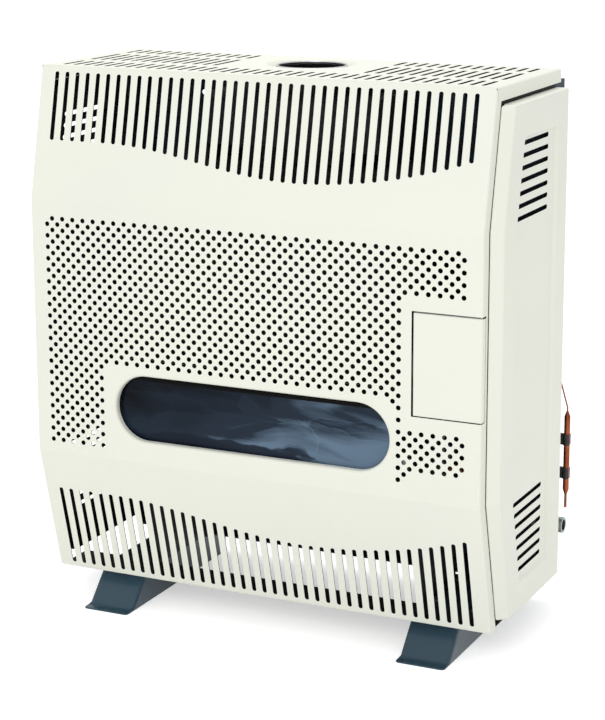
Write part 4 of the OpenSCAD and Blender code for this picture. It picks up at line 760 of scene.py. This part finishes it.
WINDOW_Z, WINDOW_HALF, WINDOW_R, LIP_R, LIP_D = 291.0, 147.0, 43.0, 4.0, 9.0
WINDOW_EDGE = WINDOW_R + LIP_R + 1
SIDE_U, NOTCH_V = HALF_FRONT + 17, up_to(703)
front_outline = mirrored([(305, -60), (305, 0), (SIDE_U, 0), (SIDE_U, NOTCH_V), (315.8, NOTCH_V), (312, TOP_V)])
GAP_LEFT, GAP_RIGHT, GAP_LOW, GAP_HIGH = 219, 319.9, up_to(325.1), up_to(455)
door_gap = [(GAP_LEFT, GAP_LOW), (GAP_RIGHT, GAP_LOW), (GAP_RIGHT, GAP_HIGH), (GAP_LEFT, GAP_HIGH)]
front = punch("front_sheet", [front_outline, door_gap, stadium(up_to(WINDOW_Z), WINDOW_HALF, WINDOW_EDGE)],
              front_holes)
fold(front, ACROSS, UP, FLANGE, ACROSS.marks[-1] / 2, lambda a, u: place(a.x, u.x + a.y, u.y))


# %% Draw the window's lip
def draw_lip(piece):
    bm = opened(piece)

    def spoke(v):
        """Nearest point on the window's middle line and the distance from it."""
        x, z = v.co.x / MM, v.co.z / MM
        cx = max(-WINDOW_HALF, min(WINDOW_HALF, x))
        return cx, x - cx, z - WINDOW_Z, math.hypot(x - cx, z - WINDOW_Z)

    def move(v, radius, depth):
        cx, dx, dz, far = spoke(v)
        return place(cx + dx / far * radius, depth, WINDOW_Z + dz / far * radius)

    edge = [e for e in bm.edges
            if e.is_boundary and all(abs(spoke(v)[3] - WINDOW_EDGE) < 0.05 for v in e.verts)]
    rows = [(WINDOW_EDGE - 1, 0.0)]
    rows += [(WINDOW_EDGE - 1 - LIP_R * math.sin(a), LIP_R * (1 - math.cos(a)))
             for a in [math.radians(15 * k) for k in range(1, 7)]]
    rows += [(WINDOW_R, LIP_R + 1), (WINDOW_R, LIP_D)]
    count = draw_edge(bm, edge, rows, move)
    face_out(bm, FORWARD)
    put_back(bm, piece)
    print("window lip drawn from", count, "edges")


draw_lip(front)
give_wall(front, inside=FINISHES["inner_coat_and_shade"])

# %% Weld the inner lip and the hinge lugs to the front
add_blocks(front, [((-305, 36.6, 717.6), (305, 51, 718.7)),
                   ((297.2, 1.0, 321.6), (308.2, 8.0, 323.1)), ((297.2, 1.0, 456), (308.2, 8.0, 457.5))])
smooth_by_angle(front)
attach(front, "casing")
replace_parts(front, "front_panel")

# %% [markdown]
# ## The top panel
#
# The top is one sheet with lips turned down at both sides and at the back. It has three rows of slots, which
# leave a plain field round the flue, and a dish is pressed in round the flue's hole. Its wall is a little
# thinner than the other sheets', so that the slots read at a low angle.

# %% Punch and fold the top
TOP_FRONT, TOP_REAR, FLUE_Y = 37.3, 268.0, 189.0
TOP_LENGTH, LIP_H = TOP_REAR - TOP_FRONT, 17.0
TOP_WALL = 0.8
DISH_EDGE = 60.6
DISH = [(59.6, 0.0), (58.9, 0.06), (58.2, 0.35), (57.4, 0.95), (51.2, 6.95), (50.3, 7.6), (49.2, 7.93),
        (48.2, 8.0), (47.0, 8.0)]
TOP_ACROSS = Route([(-HALF_FRONT, TOP - LIP_H), (-HALF_FRONT, TOP), (HALF_FRONT, TOP),
                    (HALF_FRONT, TOP - LIP_H)], [FOLD, FOLD], steps=6)
TOP_BACK = Route([(0, 0), (TOP_LENGTH, 0), (TOP_LENGTH, LIP_H)], [2.5], steps=5)

top_holes = []
for x in SLOT_X:
    for low, high in [(52, 100)] + ([(119, 192), (211, 252)] if abs(x) > 98 else []):
        top_holes.append((x, (low + high) / 2 - TOP_FRONT, 0, (high - low) / 2 - SLOT_R))
top_outline = mirrored([(HALF_FRONT + 2.9, 0), (HALF_FRONT + 2.9, 3), (HALF_FRONT + LIP_H, 3),
                        (HALF_FRONT + LIP_H, TOP_LENGTH - 1), (305, TOP_LENGTH - 1), (305, TOP_LENGTH + LIP_H)])
dish_loop = [(DISH_EDGE * math.cos(a), FLUE_Y - TOP_FRONT + DISH_EDGE * math.sin(a))
             for a in [math.tau * k / 72 for k in range(72)]]
top = punch("top_sheet", [top_outline, dish_loop], top_holes)
fold(top, TOP_ACROSS, TOP_BACK, 0, TOP_ACROSS.marks[-1] / 2,
     lambda a, u: place(a.x, TOP_FRONT + u.x, a.y - u.y))


# %% Press the dish
def press_dish(piece):
    bm = opened(piece)
    centre = place(0, FLUE_Y, TOP)

    def far(v):
        return math.hypot(v.co.x - centre.x, v.co.y - centre.y) / MM

    def move(v, radius, depth):
        scale = radius / far(v)
        return Vector((centre.x + (v.co.x - centre.x) * scale, centre.y + (v.co.y - centre.y) * scale,
                       (TOP - depth) * MM))

    edge = [e for e in bm.edges if e.is_boundary and all(abs(far(v) - DISH_EDGE) < 0.1 for v in e.verts)]
    count = draw_edge(bm, edge, DISH, move)
    face_out(bm, Vector((0, 0, 1)))
    put_back(bm, piece)
    print("dish pressed from", count, "edges")


press_dish(top)
give_wall(top, TOP_WALL, inside=FINISHES["inner_coat_and_shade"])
smooth_by_angle(top)
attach(top, "casing")
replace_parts(top, "top_panel")

# %% [markdown]
# ## The flue spigot
#
# The spigot is a turned tube with a rolled rim, which stands in the dish. Outside it is bright metal above the
# dish and painted dark grey as shade below it, and inside it is painted near black as shade. It follows one
# rule, a profile turned about the flue's middle line, so the profile is written down once and every point of it
# becomes a ring.

# %% Turn a profile about an upright line
def turned(name, profile, depth, sides=72):
    """Closed ring of a profile, given as (radius, height) all the way round its section."""
    bm = bmesh.new()
    angles = [math.tau * k / sides for k in range(sides)]
    rings = [[bm.verts.new(place(r * math.cos(a), depth + r * math.sin(a), z)) for a in angles]
             for r, z in profile]
    for n in range(len(rings)):
        join_rings(bm, rings[n - 1], rings[n])
    bmesh.ops.recalc_face_normals(bm, faces=bm.faces[:])
    return put_back(bm, new_piece(name))


FLUE_R, FLUE_WALL, RIM_R, RIM_Z = 45.0, 1.2, 1.5, 717.6
FLUE_BORE, FLANGE_R = FLUE_R - FLUE_WALL, FLUE_R + 7
tube = [(FLUE_BORE, 672), (FLUE_R, 672), (FLUE_R, 686), (FLANGE_R, 686), (FLANGE_R, 687.2), (FLUE_R, 687.2),
        (FLUE_R, 708.0), (FLUE_R, 715.5)]
rim = [(FLUE_R - 0.3 + RIM_R * math.cos(a), RIM_Z + RIM_R * math.sin(a))
       for a in [math.radians(-40 + 22 * k) for k in range(12)]]
spigot = turned("spigot_tube", tube + rim + [(FLUE_BORE, 715.0)], FLUE_Y)
for key in ("aluminised_steel", "black_painted_shade", "zinc_painted_shade"):
    spigot.data.materials.append(FINISHES[key])
axis = place(0, FLUE_Y, 0)
# Faces of the bore get the near black painted shade, and the outside below the dish the dark grey painted
# shade.
for face in spigot.data.polygons:
    out = Vector((face.center.x - axis.x, face.center.y - axis.y, 0))
    if face.normal.dot(out.normalized()) < -0.8 and face.center.z < 716 * MM:
        face.material_index = 1
    elif face.center.z < 704 * MM:
        face.material_index = 2
smooth_by_angle(spigot, 40)
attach(spigot, "casing")
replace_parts(spigot, "flue_spigot")
print("spigot turned,", len(spigot.data.polygons), "faces")

# %% [markdown]
# ## Hoods over the vents
#
# The rear frame has two rows of vents. Inside the heater, a small pressed hood stands before each one. It is
# open along one side, which lets air through and hides the wall from the front. The hoods are alike, so one is
# shaped by a rule and a Geometry Nodes tree places it on a row of points. The tree counts and spaces the
# points itself.

# %% The tree that repeats a piece along a row
VENTS = 25


def make_row_tree():
    tree, i, o = new_group(
        "Row of pieces", "GeometryNodeTree",
        {"Piece": (SHAPE, None), "Count": (COUNT, VENTS), "Pitch": (FLOAT, SLOT_PITCH * MM),
         "Place": (VECTOR, (0.0, 0.0, 0.0)), "Finish": (MATERIAL, None)},
        {"Row": SHAPE})
    step = add_node(tree, "ShaderNodeCombineXYZ")
    gaps = add_node(tree, "ShaderNodeMath", {1: 1.0}, operation="SUBTRACT")
    half = add_node(tree, "ShaderNodeMath", operation="MULTIPLY")
    back = add_node(tree, "ShaderNodeMath", {1: -0.5}, operation="MULTIPLY")
    shift = add_node(tree, "ShaderNodeCombineXYZ")
    start = add_node(tree, "ShaderNodeVectorMath", operation="ADD")
    line = add_node(tree, "GeometryNodeMeshLine")
    copies = add_node(tree, "GeometryNodeInstanceOnPoints")
    wire(tree, (i, "Pitch", step, "X"), (i, "Count", gaps, 0), (gaps, 0, half, 0), (i, "Pitch", half, 1),
         (half, 0, back, 0), (back, 0, shift, "X"), (shift, "Vector", start, 0), (i, "Place", start, 1),
         (i, "Count", line, "Count"), (start, "Vector", line, "Start Location"),
         (step, "Vector", line, "Offset"),
         (line, "Mesh", copies, "Points"), (i, "Piece", copies, "Instance"))
    end_tree(tree, copies, "Instances", i, o)
    return tree


ROW_TREE = make_row_tree()
HOOD_H, HOOD_W, HOOD_RISE, HOOD_WALL = 48.0, 9.0, 4.0, 1.0
FRAME_INSIDE = 306.5


# %% Shape one hood and repeat it
def make_hoods(name, z, finish_name, across=8, along=18):
    bm = bmesh.new()
    grid = []
    for n in range(along + 1):
        t = 2 * n / along - 1
        end = math.sqrt(max(0.0, 1 - abs(t) ** 6))
        row = []
        for k in range(across + 1):
            s = k / across
            lift = HOOD_RISE * math.sin(math.pi / 2 * min(1.0, s / 0.6)) * end
            row.append(bm.verts.new((HOOD_W * (0.5 - s) * MM, -lift * MM, HOOD_H / 2 * t * MM)))
        grid.append(row)
    join_rows(bm, grid)
    bmesh.ops.recalc_face_normals(bm, faces=bm.faces[:])
    if sum(f.normal.y for f in bm.faces) > 0:
        bmesh.ops.reverse_faces(bm, faces=bm.faces[:])
    hoods = put_back(bm, new_piece(name))
    wall = hoods.modifiers.new("sheet", "SOLIDIFY")
    wall.thickness = HOOD_WALL * MM
    wall.offset = 1.0
    add_tree(hoods, "row", ROW_TREE, {"Count": VENTS, "Pitch": SLOT_PITCH * MM,
                                      "Place": tuple(place(0, FRAME_INSIDE, z)),
                                      "Finish": FINISHES[finish_name]})
    settle(hoods)
    smooth_by_angle(hoods, 40)
    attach(hoods, "casing")
    print(name, len(hoods.data.polygons), "faces")


make_hoods("vent_hoods_top", 656.0, "blue_grey_enamel")
make_hoods("vent_hoods_low", 93.0, "blue_grey_enamel")

# %% [markdown]
# ## The side panels
#
# A side panel is a tray of pressed sheet: a slanting front edge that follows the casing's face, a flat outer
# side with a shallow pressed field, and rounded edges all round. It could be drawn as one subdivided cage, but
# the flats would swell, so the tray is laid out with straight corners, its edges are bevelled, and each flat
# keeps a narrow rim that holds the shading still. The field's soft step is a row of loops between two outlines
# that share one rule, and the same punching tree as before cuts the louvres.


# %% Outlines of the side panel
def face_depth(z):
    """Depth of the front face at a height."""
    if z > BEND_HIGH:
        return LEAN_HIGH * (z - BEND_HIGH) / (TOP - BEND_HIGH)
    return LEAN_LOW * (BEND_LOW - z) / (BEND_LOW - BASE) if z < BEND_LOW else 0.0


def rounded_loop(corners, radius, steps=5):
    """Closed outline with rounded corners, which has as many points for every radius."""
    loop = []
    points = [Vector(c) for c in corners]
    for k, corner in enumerate(points):
        first, turn = turn_at(corner, points[k - 1], points[(k + 1) % len(points)])
        normal = Vector((-first.y, first.x)) * (1 if turn > 0 else -1)
        centre = corner - first * radius * math.tan(abs(turn) / 2) + normal * radius
        arm = -normal * radius
        for n in range(steps + 1):
            c, s = math.cos(turn * n / steps), math.sin(turn * n / steps)
            loop.append((centre.x + arm.x * c - arm.y * s, centre.y + arm.x * s + arm.y * c))
    return loop


FIELD_LOW, FIELD_HIGH, FIELD_FRONT, FIELD_REAR = 94, 658, 70, 219
FIELD_CORNER, FIELD_SLOPE, FIELD_DEPTH = 10, 7, 4.4


def field_loop(inset):
    """Outline of the pressed field, smaller by an inset."""
    low, high, front_edge, rear = FIELD_LOW + inset, FIELD_HIGH - inset, FIELD_FRONT + inset, FIELD_REAR - inset
    corners = [(face_depth(low) + front_edge, low), (front_edge, BEND_LOW), (front_edge, BEND_HIGH),
               (face_depth(high) + front_edge, high), (rear, high), (rear, low)]
    return rounded_loop(corners, FIELD_CORNER - inset / 2)


# %% The tray with rounded edges
SIDE_X, SIDE_LOW, SIDE_HIGH, SIDE_REAR = 324.0, 59.0, 698.0, 255.0
SIDE_INNER = 301.2
EDGE_NEAR, EDGE_FAR = 17.3, 29.3


def add_face(bm, points):
    return bm.faces.new([bm.verts.new(place(*p)) for p in points])


def make_tray():
    """The side tray with sharp corners merged, its edges bevelled and a rim on every flat."""
    bm = bmesh.new()
    rows = []
    for z in (SIDE_LOW, BEND_LOW, BEND_HIGH, SIDE_HIGH):
        f = face_depth(z)
        rows.append([(HALF_FRONT, f + EDGE_FAR, z), (HALF_FRONT, f + EDGE_NEAR, z), (SIDE_X, f + EDGE_FAR, z)])
    for low, high in zip(rows, rows[1:]):
        for k in (0, 1):
            add_face(bm, [low[k], low[k + 1], high[k + 1], high[k]])
    rear = [[(SIDE_X, SIDE_REAR, z), (SIDE_INNER, SIDE_REAR, z)] for z in (SIDE_LOW, SIDE_HIGH)]
    add_face(bm, [row[2] for row in rows] + [rear[1][0], rear[0][0]])
    add_face(bm, [rear[0][0], rear[0][1], rear[1][1], rear[1][0]])
    for end, back in ((rows[0], rear[0]), (rows[-1], rear[1])):
        add_face(bm, end + back + [(SIDE_INNER, end[0][1], end[0][2])])
    bmesh.ops.remove_doubles(bm, verts=bm.verts[:], dist=1e-6)
    bmesh.ops.recalc_face_normals(bm, faces=bm.faces[:])
    bmesh.ops.bevel(bm, geom=[e for e in bm.edges if not e.is_boundary], offset=2.4 * MM, segments=3,
                    profile=0.5, affect="EDGES")
    flats = [f for f in bm.faces if f.calc_area() > 150e-6]
    bmesh.ops.inset_individual(bm, faces=flats, thickness=0.7 * MM)
    return bm


# %% Press the field and cut the louvres
LOUVRE_HIGH, LOUVRE_LOW, LOUVRE_FRONT, LOUVRE_REAR = 648, 110, 82, 191


def make_side(name, side):
    bm = make_tray()
    flat = max(bm.faces, key=lambda f: f.calc_area())
    outline = [(v.co.y / MM - FRONT_Y, v.co.z / MM) for v in flat.verts]
    bmesh.ops.delete(bm, geom=[flat], context="FACES_ONLY")
    rim = punch(name + "_rim", [outline, field_loop(0)], [])
    louvres = []
    for k in range(7):
        for z in (LOUVRE_HIGH - SLOT_PITCH * k, LOUVRE_LOW + SLOT_PITCH * k):
            front_end = face_depth(z) + LOUVRE_FRONT
            louvres.append(((front_end + LOUVRE_REAR) / 2, z, (LOUVRE_REAR - front_end) / 2 - SLOT_R, 0))
    floor = punch(name, [field_loop(FIELD_SLOPE)], louvres)
    for sheet, x in ((rim, SIDE_X), (floor, SIDE_X - FIELD_DEPTH)):
        for v in sheet.data.vertices:
            v.co = place(x, v.co.x / MM, v.co.y / MM)
        bm.from_mesh(sheet.data)
    bpy.data.objects.remove(rim)
    loops = []
    for t in [k / 8 for k in range(9)]:
        sunk = FIELD_DEPTH / 2 * (1 - math.cos(math.pi * t))
        loops.append([bm.verts.new(place(SIDE_X - sunk, d, z)) for d, z in field_loop(FIELD_SLOPE * t)])
    for first, second in zip(loops, loops[1:]):
        join_rings(bm, first, second)
    bmesh.ops.remove_doubles(bm, verts=bm.verts[:], dist=2e-6)
    if side < 0:
        for v in bm.verts:
            v.co.x = -v.co.x
    face_out(bm, Vector((side, 0, 0)))
    open_edges = sum(e.is_boundary for e in bm.edges)
    put_back(bm, floor)
    give_wall(floor, inside=FINISHES["inner_coat_and_shade"])
    inner, outer = sorted((side * (SIDE_INNER - SHEET), side * SIDE_INNER))
    add_blocks(floor, [((inner, 253.9, 69), (outer, 275, 688))])
    smooth_by_angle(floor, 40)
    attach(floor, "casing")
    print(name, "open edges before the wall:", open_edges)
    return floor


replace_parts(make_side("side_right", 1), "side_panel_right")
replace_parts(make_side("side_left", -1), "side_panel_left")

# %% [markdown]
# Between each side panel and the top is a narrow gap. A strip painted near black as shade stands behind the
# top's lip and closes it, so that no daylight comes through the gap and the slots.

# %% Strips of painted shade behind the gaps
shade_strips = new_piece("gap_shade_strips")
add_blocks(shade_strips, [((307.2, 52, 698.3), (308.25, 250, 705)), ((-308.25, 52, 698.3), (-307.2, 250, 705))])
shade_strips.data.materials.append(FINISHES["cut_edge_shade"])
smooth_by_angle(shade_strips)
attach(shade_strips, "casing")

# %% [markdown]
# ## The control door
#
# The door is a shallow tray too: its right edge wraps round the corner of the casing, and its other edges are
# hemmed backwards. It is folded from one blank with notched corners, like the front. Two small holes in the
# hems take the hinge pins, and the left hem is cut away where the magnet stands.

# %% Punch and fold the door
DOOR_ACROSS = Route([(221, 7), (221, 0), (HALF_FRONT, 0), (HALF_FRONT, 10)], [1.6, FOLD], steps=5)
DOOR_UP = Route([(9, 326), (0, 326), (0, 453), (9, 453)], [1.6, 1.6], steps=4)
door_outline = [(9, 0), (93.8, 0), (93.8, 8.2), (105, 9), (105, 136), (93.8, 136.8), (93.8, 145), (9, 145),
                (8, 136.6), (0, 135), (0, 89.5), (5.6, 89.5), (5.6, 55.5), (0, 55.5), (0, 10), (8, 8.4)]
door = punch("door_sheet", [door_outline], [(92.2, 5, 0, 0), (92.2, 140, 0, 0)], round_r=1.3)
fold(door, DOOR_ACROSS, DOOR_UP, 0, 0, lambda a, u: place(a.x, u.x + a.y, u.y))
door_mesh = opened(door)
face_out(door_mesh, FORWARD)
put_back(door_mesh, door)
give_wall(door, inside=FINISHES["inner_coat_and_shade"])
smooth_by_angle(door, 40)
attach(door, "door")
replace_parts(door, "control_door")

# %% [markdown]
# The control knob behind the door comes from the CAD model. What it lacks is a pointer, the pale line that
# shows how far it is turned. It is a thin raised bar on the knob's face, and it turns with the knob.

# %% The knob's pointer
pointer = new_piece("knob_pointer")
add_blocks(pointer, [((257.1, 7.7, 408), (258.9, 8.6, 419))])
pointer.data.materials.append(FINISHES["ceramic"])
smooth_by_angle(pointer)
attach(pointer, "knob")

# %% [markdown]
# ## The feet
#
# Each foot is pressed from thicker sheet. Its front slants down and flares into a lip on the floor, and soft
# edges lead to the upright sides. It follows one rule, so it is laid out row by row: a row crosses the foot at
# one point of the slanting profile, turns over the edge with a radius that grows as the profile rises, and runs
# down the side to the floor.

# %% Rows of one foot
FOOT_FRONT, FOOT_HALF, FOOT_SHEET, LIP_CORNER = 18, 33.0, 2.0, 5
FOOT_PROFILE = Route([(FOOT_FRONT, 2), (31.9, 2), (74, BASE), (300, BASE)], [9, 8], steps=6)


def foot_row(s):
    """Points of one row from the middle to the floor, as (x, depth, height)."""
    here = FOOT_PROFILE.at(s)
    ahead = (FOOT_PROFILE.at(s + 0.05) - FOOT_PROFILE.at(s - 0.05)).normalized()
    inward = Vector((ahead.y, -ahead.x))
    radius = min(5.5 if here.y < BASE - 0.5 else 4.5, (here.y - 0.9) / -inward.y)
    half = FOOT_HALF
    from_round = FOOT_FRONT + LIP_CORNER - here.x
    if from_round > 0:
        half += math.sqrt(max(0.0, LIP_CORNER ** 2 - from_round ** 2)) - LIP_CORNER
    row = [(x, here.x, here.y) for x in (0, 16, half - radius - 0.8)]
    for angle in [math.radians(15 * k) for k in range(7)]:
        shift = here + inward * radius * (1 - math.cos(angle))
        row.append((half - radius + radius * math.sin(angle), shift.x, shift.y))
    row += [(half, row[-1][1], row[-1][2] * 0.85), (half, row[-1][1], 0.0)]
    return row


def make_foot(name, x):
    ends = [0.06, 0.5, 1.5, 3, 5, FOOT_PROFILE.marks[-1] - 0.06]
    stations = sorted({round(s, 3) for s in ends + FOOT_PROFILE.cuts()})
    rows = []
    bm = bmesh.new()
    for s in stations:
        half = foot_row(s)
        row = [(-a, b, c) for a, b, c in reversed(half[1:])] + half
        rows.append([bm.verts.new(place(x + a, b, c)) for a, b, c in row])
    join_rows(bm, rows)
    bmesh.ops.remove_doubles(bm, verts=bm.verts[:], dist=1e-6)
    bmesh.ops.recalc_face_normals(bm, faces=bm.faces[:])
    if max(bm.faces, key=lambda f: f.normal.z * f.calc_area()).normal.z < 0.5:
        bmesh.ops.reverse_faces(bm, faces=bm.faces[:])
    piece = put_back(bm, new_piece(name))
    piece.data.materials.append(FINISHES["blue_grey_enamel"])
    give_wall(piece, FOOT_SHEET)
    smooth_by_angle(piece, 45)
    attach(piece, "casing")
    print(name, len(stations), "rows,", len(piece.data.polygons), "faces")
    return piece


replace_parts(make_foot("foot_right_pressed", 225.0), "foot_right")
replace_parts(make_foot("foot_left_pressed", -225.0), "foot_left")

# %% [markdown]
# ## The studio
#
# The heater stands on a pale floor under soft, even light, as in a catalogue. The floor is a pale diffuse
# plane that glows for the camera, so that it shows white and still takes the shadow. The floor and the world
# are brighter for the camera, for mirrors and for glass than they are for lighting, which keeps the background
# white without washing the enamel out.


# %% Rays that see the white background
def seen_directly(tree):
    """Node that gives 1 for camera, glossy and transmission rays and 0 for the others."""
    ray = add_node(tree, "ShaderNodeLightPath")
    seen = add_node(tree, "ShaderNodeMath", operation="MAXIMUM")
    any_seen = add_node(tree, "ShaderNodeMath", operation="MAXIMUM")
    wire(tree, (ray, "Is Camera Ray", seen, 0), (ray, "Is Glossy Ray", seen, 1), (seen, 0, any_seen, 0),
         (ray, "Is Transmission Ray", any_seen, 1))
    return any_seen


# %% Floor and world
FLOOR_GLOW, WORLD_LIGHT = 0.5, 0.79


def make_floor():
    bm = bmesh.new()
    bmesh.ops.create_grid(bm, x_segments=1, y_segments=1, size=14.0)
    floor = put_back(bm, new_piece("studio_floor"))
    material = bpy.data.materials.new("studio floor")
    material.use_nodes = True
    tree = material.node_tree
    tree.nodes.remove(tree.nodes["Principled BSDF"])
    matt = add_node(tree, "ShaderNodeBsdfDiffuse", {"Color": (0.9, 0.9, 0.9, 1.0)})
    glow = add_node(tree, "ShaderNodeEmission")
    level = add_node(tree, "ShaderNodeMath", {1: FLOOR_GLOW}, operation="MULTIPLY")
    both = add_node(tree, "ShaderNodeAddShader")
    wire(tree, (seen_directly(tree), 0, level, 0), (level, 0, glow, "Strength"), (matt, 0, both, 0),
         (glow, 0, both, 1), (both, 0, tree.nodes["Material Output"], "Surface"))
    floor.data.materials.append(material)


def make_world():
    world = bpy.data.worlds.new("studio")
    world.use_nodes = True
    tree = world.node_tree
    back = tree.nodes["Background"]
    back.inputs["Color"].default_value = (1.0, 1.0, 1.0, 1.0)
    level = add_node(tree, "ShaderNodeMapRange", {"To Min": WORLD_LIGHT, "To Max": 1.0})
    wire(tree, (seen_directly(tree), 0, level, "Value"), (level, "Result", back, "Strength"))
    bpy.context.scene.world = world


make_floor()
make_world()


# %% Lamps
def soft_lamp(name, at, aim, size, watts):
    lamp = bpy.data.lights.new(name, "AREA")
    lamp.shape = "DISK"
    lamp.size = size
    lamp.energy = watts
    piece = bpy.data.objects.new(name, lamp)
    piece.location = at
    piece.rotation_euler = (Vector(aim) - Vector(at)).to_track_quat("-Z", "Y").to_euler()
    bpy.context.scene.collection.objects.link(piece)


soft_lamp("key_lamp", (0.7, -3.1, 1.9), (0, 0, 0.35), 1.6, 24)
soft_lamp("top_fill", (-0.3, 0.5, 2.7), (0, 0, 0.7), 1.4, 13)

# %% [markdown]
# ## The camera
#
# The camera's place and lens were worked out from the photograph: the known corners of the casing were matched
# with the corners in the picture.

# %% The camera
PICTURE_HEIGHT, SENSOR = 720, 36.0
FOCAL_PIXELS = 2079.74
TILT, TURN = 12.5755, 24.5412
lens = bpy.data.cameras.new("camera")
lens.sensor_fit = "AUTO"
lens.sensor_width = SENSOR
lens.lens = FOCAL_PIXELS * SENSOR / PICTURE_HEIGHT
lens.shift_x = -0.0506
lens.shift_y = -0.08
camera = bpy.data.objects.new("camera", lens)
camera.location = (1.1385, -2.3754, 1.0013)
camera.rotation_euler = (math.radians(90 - TILT), 0.0, math.radians(TURN))
bpy.context.scene.collection.objects.link(camera)
bpy.context.scene.camera = camera
bpy.context.scene.view_settings.view_transform = "Standard"
